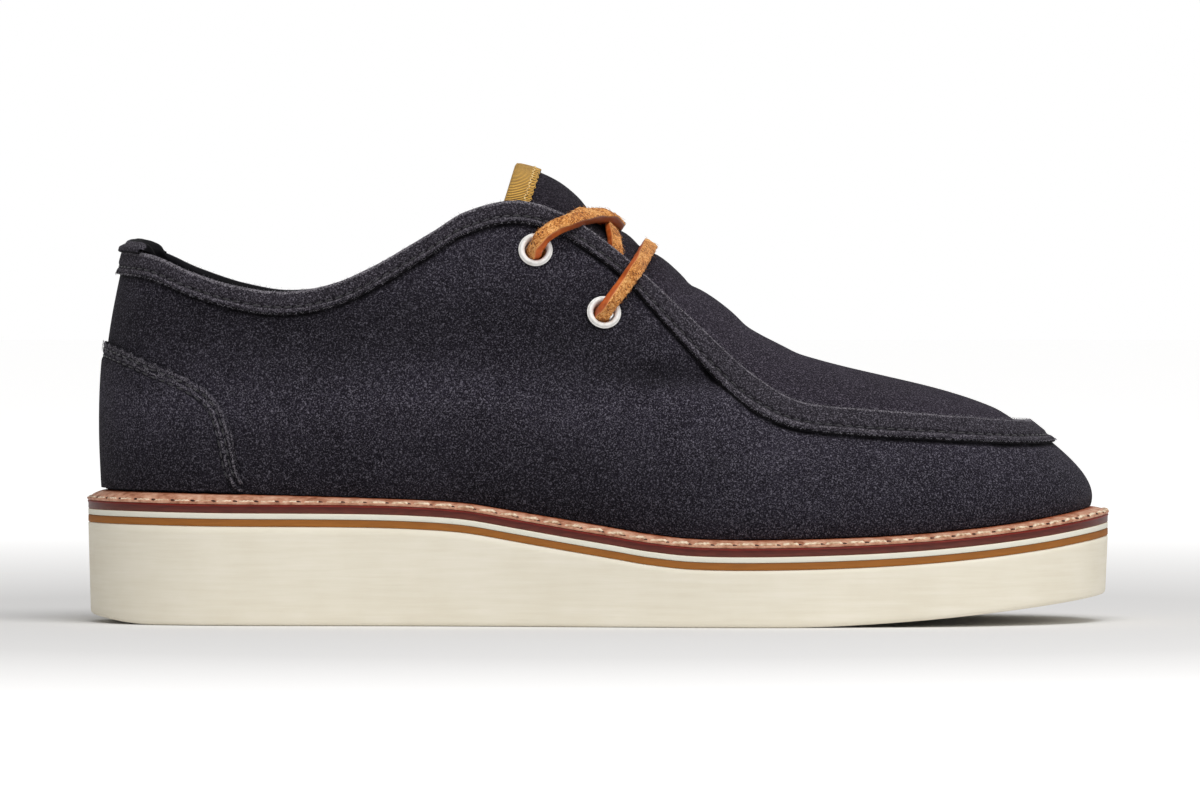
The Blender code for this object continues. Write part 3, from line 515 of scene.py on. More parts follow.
# Painted highlight and shade up the side wall, multiplying its colour by height share: a light band
# at mid-height, painted shade low down and under the top edge. The first row is for the heel, the
# second for the toe.
WALL_PAINTED_SHADING = [
    [(0.0, 0.34), (0.07, 0.38), (0.13, 0.50), (0.22, 0.60), (0.28, 0.74), (0.33, 0.90),
     (0.37, 1.02), (0.41, 0.98), (0.45, 0.80), (0.50, 0.62), (0.56, 0.50), (0.66, 0.47),
     (0.71, 0.58), (0.77, 0.74), (1.0, 0.82)],
    [(0.0, 0.70), (0.13, 0.78), (0.22, 0.95), (0.31, 1.08), (0.38, 1.0), (0.44, 0.82),
     (0.52, 0.82), (0.62, 0.92), (1.0, 0.88)],
]
suede_wall = suede("navy_split_suede", "#0D0B12", "#1C1921", "#36323E", "#7E7A86", WALL_PAINTED_SHADING)

BAND_THICKNESS = 0.0010
BAND_WIDTH = 0.0069
BAND_WIDTHS = [  # shares of BAND_WIDTH; the band is widest where it runs down the instep
    (0.525, 1.00), (0.575, 1.47), (0.615, 1.80), (0.650, 1.81),
    (0.700, 1.46), (0.800, 1.36),
]
LASTING_MARGIN = 0.0090    # how far the wall is turned in under the foot
EDGE_ROWS_FROM = 0.0032    # below the band's cut edge the face's own, even rows end here
WALL_COLUMNS = 400
FLANGE_ROWS = 4
FACE_ROWS_OF_WALL = 54
# Rows under the band's cut edge, in metres below it, and how much painted shadow of the band lies
# there.
EDGE_ROWS = [(0.0016, 0.0), (0.0011, 0.25), (0.0007, 0.6), (0.0003, 0.95), (-0.0002, 0.95)]
WALL_ROWS = FLANGE_ROWS + FACE_ROWS_OF_WALL + len(EDGE_ROWS) + 1


def band_width(turn):
    """Width of the collar band on the wall's face."""
    return read(BAND_WIDTHS, spline(TOP, turn).x, BAND_WIDTH)


def wall_sheet(u, v):
    """Outer face from the turned-in margin under the foot, out to the feather line and up."""
    turn = TURN * u
    row = round(v * WALL_ROWS)
    floor = welt_height(turn) + GAP
    if row <= FLANGE_ROWS:
        inward = LASTING_MARGIN * (1 - row / FLANGE_ROWS)
        return ring(turn, -inward, floor)
    if row == WALL_ROWS:
        return lasted_wall(turn, down_the_wall(turn, BAND_THICKNESS + GAP))
    edge_row = row - FLANGE_ROWS - FACE_ROWS_OF_WALL - 1
    if edge_row >= 0:
        return lasted_wall(turn, down_the_wall(turn, band_width(turn) + EDGE_ROWS[edge_row][0]))
    share = (row - FLANGE_ROWS) / FACE_ROWS_OF_WALL
    return lasted_wall(turn, share * down_the_wall(turn, band_width(turn) + EDGE_ROWS_FROM))


def paint_shade(piece, amount):
    """Sets the painted shade (above 0) or the pale scuffs and painted highlight (below 0),
    amount(u, v) of the piece's own map.
    """
    amounts = [amount(*corner.uv) for corner in piece.data.uv_layers[0].data]
    piece.data.attributes.new("painted_shade_and_highlight", "FLOAT", "CORNER").data.foreach_set("value", amounts)


def wall_painted_shadow(u, v):
    """Painted shadow along the band's cut edge, a little uneven."""
    edge_row = round(v * WALL_ROWS) - FLANGE_ROWS - FACE_ROWS_OF_WALL - 1
    if not 0 <= edge_row < len(EDGE_ROWS):
        return 0.0
    uneven = noise.noise(wall_middle(TURN * u, 1.0) * 300)
    return EDGE_ROWS[edge_row][1] * min(1.0, 0.85 + 0.6 * uneven)


side_wall = shaped_grid("suede_side_wall", WALL_COLUMNS, WALL_ROWS, wall_sheet,
                        suede_wall, lining)
paint_shade(side_wall, wall_painted_shadow)
apply(side_wall, "SOLIDIFY", thickness=WALL, offset=-1.0, use_even_offset=True,
      material_offset=1)

EYELET_BARREL = 0.0035     # radius of the tube behind the flange
EYELET_PLACES = {"upper": (-0.0185, 0.1074), "lower": (0.0011, 0.0895)}  # X and height


def halved(high, falls_short):
    """The value between 0 and high where falls_short ends, found by halving."""
    low = 0.0
    for _ in range(HALVINGS):
        middle = 0.5 * (low + high)
        if falls_short(middle):
            low = middle
        else:
            high = middle
    return 0.5 * (low + high)


def turn_at(x, controls):
    """Turn value where a plan curve passes x on the lateral side."""
    return halved(float(TOE), lambda turn: spline(controls, turn).x < x)


def rise_at(turn, height):
    """rise at which the side wall reaches a height."""
    return halved(1.0, lambda rise: wall_middle(turn, rise).z < height)


def wall_at(x, height, medial):
    """Turn and rise of the side wall's point at X and height, closed in on step by step."""
    turn = turn_at(x, FEATHER)
    pace = SHOE_LENGTH / TOE
    for _ in range(12):
        side = TURN - turn if medial else turn
        rise = rise_at(side, height)
        turn += (x - wall_middle(side, rise).x) / pace
    return (TURN - turn if medial else turn), rise


def eyelet_frame(level, medial):
    """Place on the wall's face, outward normal and rotation of one eyelet."""
    x, height = EYELET_PLACES[level]
    turn, rise = wall_at(x, height, medial)
    centre = wall(turn, rise)
    normal = wall_normal(turn, rise)
    return centre, normal, normal.to_track_quat("Z", "Y")


for level in EYELET_PLACES:
    for medial in (False, True):
        centre, _, rotation = eyelet_frame(level, medial)
        bpy.ops.object.select_all(action="DESELECT")
        bpy.ops.mesh.primitive_cylinder_add(vertices=48, radius=EYELET_BARREL + GAP, depth=0.010,
                                            location=centre, rotation=rotation.to_euler())
        punch = bpy.context.object
        apply(side_wall, "BOOLEAN", operation="DIFFERENCE", solver="EXACT", object=punch)
        bpy.data.objects.remove(punch, do_unlink=True)
side_wall.data.set_sharp_from_angle(angle=math.radians(50))
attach(side_wall, "root")
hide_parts("upper")


# ================================ apron and tongue
# One soft piece of the same suede closes the top of the foot from the toe seam to the tongue's end.
# Its edges are tucked under the side wall's band, and it puffs and folds a little where the foot
# bends.
CROWN = [  # shares of INSTEP_HEIGHT
    (0.380, 1.083), (0.419, 1.084), (0.459, 1.048), (0.500, 0.965),
    (0.522, 0.931), (0.558, 0.872), (0.590, 0.805), (0.622, 0.752),
    (0.656, 0.684), (0.684, 0.649), (0.710, 0.624), (0.780, 0.582),
    (0.850, 0.540), (0.885, 0.510), (0.905, 0.480), (0.920, 0.450),
]
APRON_THICKNESS = 0.0020
BINDING_THICKNESS = 0.0007
TONGUE_TIP = 6.97          # turn of the tongue's end
THROAT_END = at(0.66)
THROAT_FADE = 0.05
TUCK = 0.0090              # width of the edge tucked under the wall
TUCKED = 1.6               # across, where the tucked edge ends
ARCH_SIDE = 0.28           # how the section's curve leaves the edge and comes to the crown
ARCH_CROWN = 0.42
CROWN_ASIDE = 0.001        # the crown lies this far to the medial side
TIP_LEAN = 0.30            # the tongue's sides run back from its middle
TIP_LEAN_END = at(0.52)
TIP_LEAN_RUN = 0.028


def under_band(turn):
    """Distance inside the wall's face where the apron and tongue run."""
    x = spline(TOP, turn).x
    throat = min(max((THROAT_END - x) / THROAT_FADE, 0.0), 1.0)
    return WALL + GAP + BAND_THICKNESS + GAP + (BINDING_THICKNESS + GAP) * throat


@lru_cache(maxsize=None)
def arch(turn):
    """Edges and crown of the apron and tongue at one section."""
    sides = []
    for side_turn in (turn, TURN - turn):
        edge = wall(side_turn, 1.0, -under_band(turn))
        below = wall(side_turn, down_the_wall(side_turn, 0.3 * TUCK), -under_band(turn))
        sides.append((edge, (edge - below).normalized()))
    centre = 0.5 * (sides[0][0] + sides[1][0])
    height = max(read(CROWN, centre.x, INSTEP_HEIGHT), centre.z)
    return sides, Vector((centre.x, centre.y + CROWN_ASIDE, height))


def apron_point(turn, across):
    """Point on the upper face, lateral edge -1, crown 0, medial edge 1."""
    sides, crown = arch(turn)
    edge, direction = sides[0 if across < 0 else 1]
    out = abs(across)
    if out > 1:
        side_turn = turn if across < 0 else TURN - turn
        depth = TUCK * (out - 1) / (TUCKED - 1)
        point = wall(side_turn, down_the_wall(side_turn, depth), -under_band(turn))
    else:
        half = 0.5 * (sides[0][0] - sides[1][0]).length
        near = edge + direction * ARCH_SIDE * half
        near.z = min(near.z, crown.z)
        far = crown + (edge - crown) * ARCH_CROWN
        far.z = crown.z
        point = (edge * out ** 3 + near * 3 * out * out * (1 - out)
                 + far * 3 * out * (1 - out) ** 2 + crown * (1 - out) ** 3)
    tip = min(max((TIP_LEAN_END - point.x) / TIP_LEAN_RUN, 0.0), 1.0)
    return point + Vector((-TIP_LEAN * max(crown.z - point.z, 0.0) * tip, 0, 0))


def apron_frame(turn, across):
    """Point on the apron and tongue, with its forward direction and its outward normal."""
    here = apron_point(turn, across)
    forward = (apron_point(turn + PACE, across) - apron_point(turn - PACE, across)).normalized()
    sideways = apron_point(turn, across + PACE) - apron_point(turn, across - PACE)
    return here, forward, forward.cross(sideways).normalized()


# Folds across the apron: place in mm from the shoe's middle at the crown, slant of the fold towards
# the lateral and medial edge in mm, half width and depth in mm (a puff is negative).
Fold = namedtuple("Fold", "x lateral medial width depth")
APRON_FOLDS = [
    Fold(26.5, -7.0, -5.0, 1.6, 0.50),
    Fold(21.0, -6.0, -5.0, 3.5, -0.15),
    Fold(31.5, -6.0, -6.0, 3.5, -0.20),
    Fold(42.5, -4.0, -8.0, 2.4, 0.35),
    Fold(49.0, 2.0, -5.0, 3.5, -0.20),
    Fold(57.0, 6.0, 3.0, 3.0, 0.25),
    Fold(0.5, 2.0, 2.0, 4.2, 1.90),
    Fold(12.8, 3.0, 3.0, 3.0, 1.10),
]


def folded(point, across):
    """Depth of the folds at a point of the apron, in metres."""
    total = 0.0
    for fold_line in APRON_FOLDS:
        slant = fold_line.lateral if across < 0 else fold_line.medial
        line = fold_line.x + slant * across * across
        total += fold_line.depth * math.exp(-((1000 * point.x - line) / fold_line.width) ** 2)
    return 0.001 * total * (1 - soft_step(abs(across), 0.75, 1.0))


def puffed_apron(turn, across):
    """Point and normal of the apron with its folds and unevenness, calm at edges and tip."""
    point, _, normal = apron_frame(turn, across)
    calm = 1 - soft_step(abs(across), 0.8, 1.0)
    tip = soft_step(turn, TONGUE_TIP + 0.3, TONGUE_TIP + 0.9)
    return point + normal * calm * tip * (2 * form_wave(point) - folded(point, across)), normal


APRON_COLUMNS = 180
APRON_ROWS = 96


def apron_sheet(u, v):
    """From the tongue's end to the toe, and from one tucked edge to the other."""
    turn = TONGUE_TIP + (TOE - TONGUE_TIP) * u
    return puffed_apron(turn, TUCKED * (2 * v - 1))[0]


# Its height ramps darken it towards the top of the tongue.
suede_apron = suede("navy_apron_suede", "#131016", "#211D25", "#37323D", "#726B77",
                    [[(0.0, 1.0), (0.70, 0.90), (0.90, 0.52), (1.0, 0.52)],
                     [(0.0, 1.0), (0.70, 1.0), (0.90, 0.60), (1.0, 0.52)]])
apron = shaped_grid("suede_apron_tongue", APRON_COLUMNS, APRON_ROWS, apron_sheet,
                    suede_apron, lining)
if sum(face.normal.z for face in apron.data.polygons) < 0:
    apron.data.flip_normals()
apply(apron, "SOLIDIFY", thickness=APRON_THICKNESS, offset=-1.0, use_even_offset=True,
      material_offset=1)
apron.data.set_sharp_from_angle(angle=math.radians(50))
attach(apron, "root")
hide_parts("apron_tongue")


# ================================ collar band
# A strip cut from the same suede is folded over the wall's top edge, all round the collar and
# along the apron. One row of navy thread, three millimetres to the stitch, holds both its legs.
BAND_INNER_LEG = 0.0050
STITCH_ROW = 8             # row of the band's section that the stitches follow
STITCH_PITCH = 0.0030
STITCH_LENGTH = 0.0023
STITCH_WIDTH = 0.00045
STITCH_SUNK = 0.00040      # how far the thread lies below the suede's face
STITCH_CHANNEL = 0.0007    # half width of the dip that the thread pulls in
STITCH_DIP = 0.00048       # depth of that dip halfway between two holes
HOLE_DIP = 0.00020         # and how much deeper it is where the thread goes through
FACE_ROWS = 14
ARC_ROWS = 10
BAND_COLUMNS = 900


def folded_strip(outer_leg):
    """Rows of (depth, offset) round the strip folded over the edge, from its outer cut edge."""
    thickness, inner_leg = BAND_THICKNESS, BAND_INNER_LEG
    outside, inside = GAP, WALL + GAP
    face, back = outside + thickness, -inside - thickness
    low, start = outer_leg - 0.8 * thickness, 1.2 * thickness
    rows = [(outer_leg - 0.1 * thickness, outside), (outer_leg, outside + 0.3 * thickness),
            (outer_leg, outside + 0.6 * thickness), (outer_leg - 0.35 * thickness, face)]
    rows += [(low + (start - low) * i / (FACE_ROWS - 1), face) for i in range(FACE_ROWS)]
    rise = start + 0.35 * thickness
    for i in range(1, ARC_ROWS):
        angle = math.pi * i / ARC_ROWS
        rows.append((start - rise * math.sin(angle) ** 0.8,
                     0.5 * (face + back) + 0.5 * (face - back) * math.cos(angle)))
    rows += [(start, back), (inner_leg - 0.4 * thickness, back),
             (inner_leg, back + 0.4 * thickness), (inner_leg, -inside), (start, -inside),
             (thickness, -inside), (thickness, outside), (start, outside)]
    return rows + rows[:1]


def run_table(curve, start, end, samples=600):
    """Parameters along a curve and the lengths run up to them."""
    values = np.linspace(start, end, samples)
    points = np.array([curve(float(value)) for value in values])
    steps = np.linalg.norm(np.diff(points, axis=0), axis=1)
    return values, np.concatenate([[0.0], np.cumsum(steps)])


def spaced(values, lengths, pitch):
    """Parameters an even pitch apart along a curve, with half a pitch at either end."""
    count = max(round(lengths[-1] / pitch), 1)
    return np.interp((np.arange(count) + 0.5) * lengths[-1] / count, lengths, values).tolist()


def stitch_depth(turn):
    """Depth of the row of stitches, a row of the band's face."""
    low, start = band_width(turn) - 0.8 * BAND_THICKNESS, 1.2 * BAND_THICKNESS
    return low + (start - low) * (STITCH_ROW - 4) / (FACE_ROWS - 1)


def band_stitch_line(turn, offset=0.0):
    """Point of the row of stitches, at an offset from the band's face."""
    return near_top(turn, stitch_depth(turn), GAP + BAND_THICKNESS + offset)


band_turns, band_lengths = run_table(band_stitch_line, 0.0, TURN)


def at_hole(run, pitch=STITCH_PITCH):
    """1 where a row's thread goes through the leather, 0 halfway between two holes."""
    return 0.5 + 0.5 * math.cos(2 * math.pi * run / pitch)


def thread_dip(distance, run):
    """How far a row of stitches pulls the suede in, deepest where the thread goes through."""
    return math.exp(-(distance / STITCH_CHANNEL) ** 2) * (STITCH_DIP + HOLE_DIP * at_hole(run))


@lru_cache(maxsize=None)
def band_rows(turn):
    """The band's cross-section at one place, its cut edge a little uneven."""
    point = wall_middle(turn, 1.0)
    uneven = 0.00022 * noise.noise(point * 90) + 0.00012 * noise.noise(point * 420)
    rows = folded_strip(band_width(turn) + uneven)
    run = float(np.interp(turn, band_turns, band_lengths))
    swell = 0.00018 * noise.noise(point * 160)
    made = []
    for i, (depth, offset) in enumerate(rows):
        if 2 < i < 4 + FACE_ROWS + ARC_ROWS // 2:
            offset += swell - thread_dip(depth - stitch_depth(turn), run)
        made.append((depth, offset))
    return made


def band_sheet(u, v):
    """Round the folded band's cross-section at each column."""
    turn = TURN * u
    rows = band_rows(turn)
    depth, offset = rows[round(v * (len(rows) - 1))]
    return near_top(turn, depth, offset)


def band_painted_shade(u, v):
    """Painted shade along the row of stitches and at the cut edge; pale rubbed nap and painted
    highlight beside the stitches and on the fold.
    """
    rows = band_rows(TURN * u)
    row = round(v * (len(rows) - 1))
    through = at_hole(float(np.interp(TURN * u, band_turns, band_lengths)))
    if row < 4:
        return 0.9
    on_fold = row - (3 + FACE_ROWS)
    if on_fold > 0:
        return -0.85 if on_fold < 0.45 * ARC_ROWS else 0.0
    groove = (0.70 + 0.25 * through) * math.exp(-((row - STITCH_ROW) / 0.85) ** 2)
    return groove - (0.45 - 0.2 * through) * math.exp(-((row - STITCH_ROW + 2) / 0.8) ** 2)


suede_band = suede("navy_suede_band", "#131116", "#242127", "#3D3941", "#827D88",
                   [[(0.0, 0.9), (0.7, 0.85), (1.0, 0.80)],
                    [(0.0, 0.9), (0.5, 0.88), (1.0, 0.85)]])
BAND_ROW_COUNT = len(band_rows(0.0)) - 1
band = shaped_grid("suede_collar_band", BAND_COLUMNS, BAND_ROW_COUNT, band_sheet,
                   suede_band, lining)
paint_shade(band, band_painted_shade)


def line_and_shade_the_inside(piece, row_count, first_row, last_row):
    """Gives the folded strip's inner leg, found by its own map, the black lining's finish, which
    also serves as painted shade inside the collar.
    """
    folded_map = piece.data.uv_layers[0].data
    for face in piece.data.polygons:
        row = sum(folded_map[k].uv[1] for k in face.loop_indices) / len(face.loop_indices)
        face.material_index = 1 if first_row < row * row_count < last_row else 0


# The band's inner leg is the same suede; the black lining's finish there is painted shade.
line_and_shade_the_inside(band, BAND_ROW_COUNT, 4 + FACE_ROWS + 0.45 * ARC_ROWS, BAND_ROW_COUNT - 3)
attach(band, "root")
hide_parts("collar_band")

# Bonded nylon sewing thread, dyed navy and dusted by the suede: a low gloss, paler than leather.
sewing_thread = mottled("navy_nylon_thread", 0.0012, 3.0, [(0.42, "#100F13"), (0.70, "#3C3942")],
                        Roughness=0.55, Sheen_Weight=0.3)


def small_stitch(length, width):
    """One stitch along X: a grain of thread whose ends sink into the leather."""
    bpy.ops.object.select_all(action="DESELECT")
    bpy.ops.mesh.primitive_uv_sphere_add(segments=8, ring_count=6, radius=0.5,
                                         rotation=(0, math.pi / 2, 0))
    stitch = bpy.context.object
    bpy.ops.object.transform_apply(location=False, rotation=True, scale=False)
    for vertex in stitch.data.vertices:
        sink = 1.6 * width * vertex.co.x ** 2
        vertex.co = (vertex.co.x * length, vertex.co.y * width,
                     vertex.co.z * 0.8 * width - sink)
    return stitch


def repeated(name, model, places, material):
    """One mesh of many copies of a model, each on a point, along a direction, up a normal."""
    shape = np.array([vertex.co[:] for vertex in model.data.vertices])
    faces = [tuple(face.vertices) for face in model.data.polygons]
    vertices, copies = [], []
    for point, along, normal in places:
        side = normal.cross(along).normalized()
        ahead = side.cross(normal).normalized()
        axes = np.array([ahead[:], side[:], normal[:]])
        start = len(vertices)
        vertices += (shape @ axes + np.array(point[:])).tolist()
        copies += [tuple(start + k for k in face) for face in faces]
    mesh = bpy.data.meshes.new(name)
    mesh.from_pydata(vertices, [], copies)
    mesh.shade_smooth()
    mesh.materials.append(material)
    made = bpy.data.objects.new(name, mesh)
    bpy.context.scene.collection.objects.link(made)
    return made


def direction(curve, value):
    """Unit direction of a curve at a parameter."""
    return (curve(value + 0.5 * PACE) - curve(value - 0.5 * PACE)).normalized()


def stitch_places(curve, values, lengths, normal_at):
    """Places of stitches along a curve, each turned a little off the line as sewing leaves it."""
    places = []
    for i, value in enumerate(spaced(values, lengths, STITCH_PITCH)):
        along = direction(curve, value)
        normal = normal_at(value)
        lean = 0.06 * math.sin(5.3 * i) + 0.05
        along = along + normal.cross(along) * lean
        places.append((curve(value), along, normal))
    return places


stitch = small_stitch(STITCH_LENGTH, STITCH_WIDTH)
band_stitches = repeated("band_stitches", stitch, stitch_places(
    lambda turn: band_stitch_line(turn, -STITCH_SUNK), band_turns, band_lengths,
    lambda turn: wall_normal(turn, down_the_wall(turn, stitch_depth(turn)))), sewing_thread)
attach(band_stitches, "root")
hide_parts("collar_band")

# Loose fibres along the band's fold and its cut edge, lighter where they stand in the light.
loose_fibres = mottled("loose_suede_fibres", 0.0009, 2.0, [(0.36, "#3A373F"), (0.66, "#98939D")],
                       Roughness=0.9, Sheen_Weight=0.2)


def small_fibre(length, width):
    """One fibre along X: a thin three-sided hair, bent up at both ends."""
    bpy.ops.object.select_all(action="DESELECT")
    bpy.ops.mesh.primitive_cone_add(vertices=3, radius1=0.5, radius2=0.15, depth=1.0,
                                    rotation=(0, math.pi / 2, 0))
    hair = bpy.context.object
    bpy.ops.object.transform_apply(location=False, rotation=True, scale=False)
    for vertex in hair.data.vertices:
        vertex.co = (vertex.co.x * length, vertex.co.y * width,
                     vertex.co.z * width + 0.6 * length * vertex.co.x ** 2)
    return hair


def scatter(i):
    """Three numbers between -1 and 1 that differ from one fibre to the next."""
    return [math.sin(k * (i + 1)) for k in (12.9898, 78.233, 37.719)]


def strewn(i):
    """A share between 0 and 1, spread evenly over however many fibres there are."""
    return (i * 0.618034) % 1.0


HAIR_LENGTH = 0.00085
HAIR_WIDTH = 0.00009
FOLD_FIBRES = 1500
CUT_FIBRES = 1100
hair = small_fibre(HAIR_LENGTH, HAIR_WIDTH)
band_hairs = []
for i in range(FOLD_FIBRES + CUT_FIBRES):
    first, second, third = scatter(i)
    on_fold = i < FOLD_FIBRES
    turn = TURN * ((i * 0.618034 + 0.01 * first) % 1.0)
    depth = 0.00045 + 0.0004 * second if on_fold else band_width(turn) - 0.0002
    normal = wall_normal(turn, down_the_wall(turn, max(depth, 0.0)))
    point = near_top(turn, depth, GAP + BAND_THICKNESS * (0.8 if on_fold else 0.9))
    up = (near_top(turn, 0.001, 0.0) - near_top(turn, 0.003, 0.0)).normalized()
    run = up.cross(normal)
    along = (up * (0.8 if on_fold else -0.6) + normal * (0.35 + 0.25 * third) + run * 1.2 * first)
    band_hairs.append((point + along.normalized() * 0.0002, along.normalized(), normal))
band_fibres = repeated("band_fibres", hair, band_hairs, loose_fibres)
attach(band_fibres, "root")
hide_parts("collar_band")


# ================================ heel counter
# A second layer of suede wraps the heel over the side wall to stiffen it. Its edge is cut raw, and
# two rows of thread, two and four millimetres inside the edge, sew it down.
COUNTER_EDGE = [  # shares of INSTEP_HEIGHT
    (0.010, 0.672), (0.043, 0.645), (0.070, 0.616), (0.089, 0.598),
    (0.117, 0.561), (0.130, 0.531), (0.137, 0.499), (0.144, 0.440),
    (0.149, 0.380), (0.157, 0.330),
]
COUNTER_THICKNESS = 0.0010
COUNTER_FRONT = 3.67       # turn of its two front ends
COUNTER_FOOT = 0.0008      # its foot stands this high over the welt
COUNTER_AIR = 0.0004       # taken off its back, so that the dips stay clear of the wall
COUNTER_SEWN_FROM = 0.0395  # height that the sewing starts at, over the welt
COUNTER_STITCH_SUNK = 0.00038
COUNTER_ROWS_INSIDE = (0.0020, 0.0040)
COUNTER_COLUMNS = 260
COUNTER_ROWS = 56


@lru_cache(maxsize=None)
def counter_span(turn):
    """rise of the counter's foot and of its top edge."""
    edge = read(COUNTER_EDGE, spline(FEATHER, turn).x, INSTEP_HEIGHT)
    return rise_at(turn, welt_height(turn) + COUNTER_FOOT), rise_at(turn, edge)


def counter_face(turn, rise, offset=0.0):
    """Point at an offset from the counter's outer face."""
    return lasted_wall(turn, rise, GAP + COUNTER_THICKNESS + offset)


def counter_edge(turn):
    """Point of the counter's cut edge."""
    return counter_face(turn, counter_span(turn)[1])


counter_turns, counter_lengths = run_table(counter_edge, -COUNTER_FRONT, COUNTER_FRONT, 500)
counter_outline = np.array([counter_edge(float(turn)) for turn in counter_turns])


@lru_cache(maxsize=None)
def counter_place(column, row):
    """Turn, rise, distance inside the edge and run along it of one corner of the counter's grid."""
    turn = COUNTER_FRONT * (2 * column / COUNTER_COLUMNS - 1)
    low, high = counter_span(turn)
    rise = low + (high - low) * row / COUNTER_ROWS
    gaps = np.linalg.norm(counter_outline - np.array(counter_face(turn, rise)), axis=1)
    return turn, rise, float(gaps.min()), float(counter_lengths[int(gaps.argmin())])


def counter_sheet(u, v):
    """The counter's face, dipped along its two rows of stitches and thinned at its cut edge."""
    turn, rise, inside, run = counter_place(round(u * COUNTER_COLUMNS), round(v * COUNTER_ROWS))
    dip = sum(thread_dip(inside - row, run) for row in COUNTER_ROWS_INSIDE)
    edge = 0.00035 * math.exp(-(inside / 0.0006) ** 2)
    return counter_face(turn, rise, -dip - edge)


def counter_painted_shade(u, v):
    """Painted shade along both rows of stitches and at the cut edge; pale rubbed nap and painted
    highlight beside each row.
    """
    inside, run = counter_place(round(u * COUNTER_COLUMNS), round(v * COUNTER_ROWS))[2:]
    rows, rubbed_highlight = (sum(math.exp(-((inside - row + aside) / 0.0005) ** 2)
                        for row in COUNTER_ROWS_INSIDE) for aside in (0.0, 0.0010))
    cut_edge = math.exp(-(inside / 0.0003) ** 2)
    return (0.45 + 0.3 * at_hole(run)) * rows + 0.8 * cut_edge - 0.5 * rubbed_highlight


counter = shaped_grid("suede_heel_counter", COUNTER_COLUMNS, COUNTER_ROWS, counter_sheet,
                      suede_wall)
paint_shade(counter, counter_painted_shade)
apply(counter, "SOLIDIFY", thickness=COUNTER_THICKNESS - COUNTER_AIR, offset=-1.0)
counter.data.set_sharp_from_angle(angle=math.radians(60))
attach(counter, "root")
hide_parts("heel_counter")


def inside_the_counter(turn, distance):
    """Turn and rise of the point a distance inside the counter's edge."""
    step = 0.01
    rise = counter_span(turn)[1]
    here = counter_face(turn, rise)
    pace_along = (counter_face(turn + step, rise) - here).length / step
    pace_up = (here - counter_face(turn, rise - step)).length / step
    run = pace_along * 2 * step
    climb = pace_up * (counter_span(turn + step)[1] - counter_span(turn - step)[1])
    length = math.hypot(run, climb)
    return (turn + distance * climb / length / pace_along,
            max(rise - distance * run / length / pace_up, 0.0))


COUNTER_REACH = COUNTER_FRONT - 0.03  # turn up to which the edge is sewn and frayed
counter_places = []
for distance in COUNTER_ROWS_INSIDE:
    def counter_row(turn, inside=distance):
        return counter_face(*inside_the_counter(turn, inside), -COUNTER_STITCH_SUNK)

    def counter_normal(turn, inside=distance):
        return wall_normal(*inside_the_counter(turn, inside))

    row_turns, row_lengths = run_table(counter_row, -COUNTER_REACH, COUNTER_REACH, 400)
    counter_places += [
        place for place in stitch_places(counter_row, row_turns, row_lengths, counter_normal)
        if place[0].z > COUNTER_SEWN_FROM]
counter_stitches = repeated("counter_stitches", stitch, counter_places, sewing_thread)
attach(counter_stitches, "root")
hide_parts("heel_counter")
bpy.data.objects.remove(stitch, do_unlink=True)

COUNTER_FIBRES = 620
counter_hairs = []
for i in range(COUNTER_FIBRES):
    first, second, third = scatter(i)
    inside = 0.0001 + 0.0012 * (1 + second)
    turn, rise = inside_the_counter(COUNTER_REACH * (2 * strewn(i) - 1), inside)
    normal = wall_normal(turn, rise)
    sideways = normal.cross(Vector((0, 0, 1))).normalized()
    along = (sideways * first + Vector((0, 0, 1)) * third + normal * 0.6).normalized()
    counter_hairs.append((counter_face(turn, rise, 0.00005), along, normal))
counter_fibres = repeated("counter_fibres", hair, counter_hairs, loose_fibres)
bpy.data.objects.remove(hair, do_unlink=True)
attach(counter_fibres, "root")
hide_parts("heel_counter")


# ================================ heel tab
# A short padded strip of suede is folded over the band at the back of the collar. Its outer edge
# stops at the band's fold, it stands three millimetres up, and its black inner leg guards the
# heel.
TAB_THICKNESS = 0.0010
TAB_STAND = 0.0033         # top of the tab above the collar's edge
TAB_FRONT_LOWER = 0.0011   # the tab drops towards its medial end
TAB_LATERAL = 1.5
TAB_MEDIAL = -1.9
TAB_OUTER_LEG = 0.0006
TAB_INNER_LEG = 0.0110
TAB_LOW = -0.0010          # underside of the pad, just above the band's fold
TAB_TOP_OUTER = 0.0009     # offsets of the top's two shoulders from the wall's face
TAB_TOP_INNER = -0.0036
TAB_SHOULDER = 0.0012
TAB_COLUMNS = 90


def stretch(start, end, count):
    """Evenly spaced rows of (depth, offset) from start up to, and without, end."""
    return [tuple(a + (b - a) * i / count for a, b in zip(start, end)) for i in range(count)]


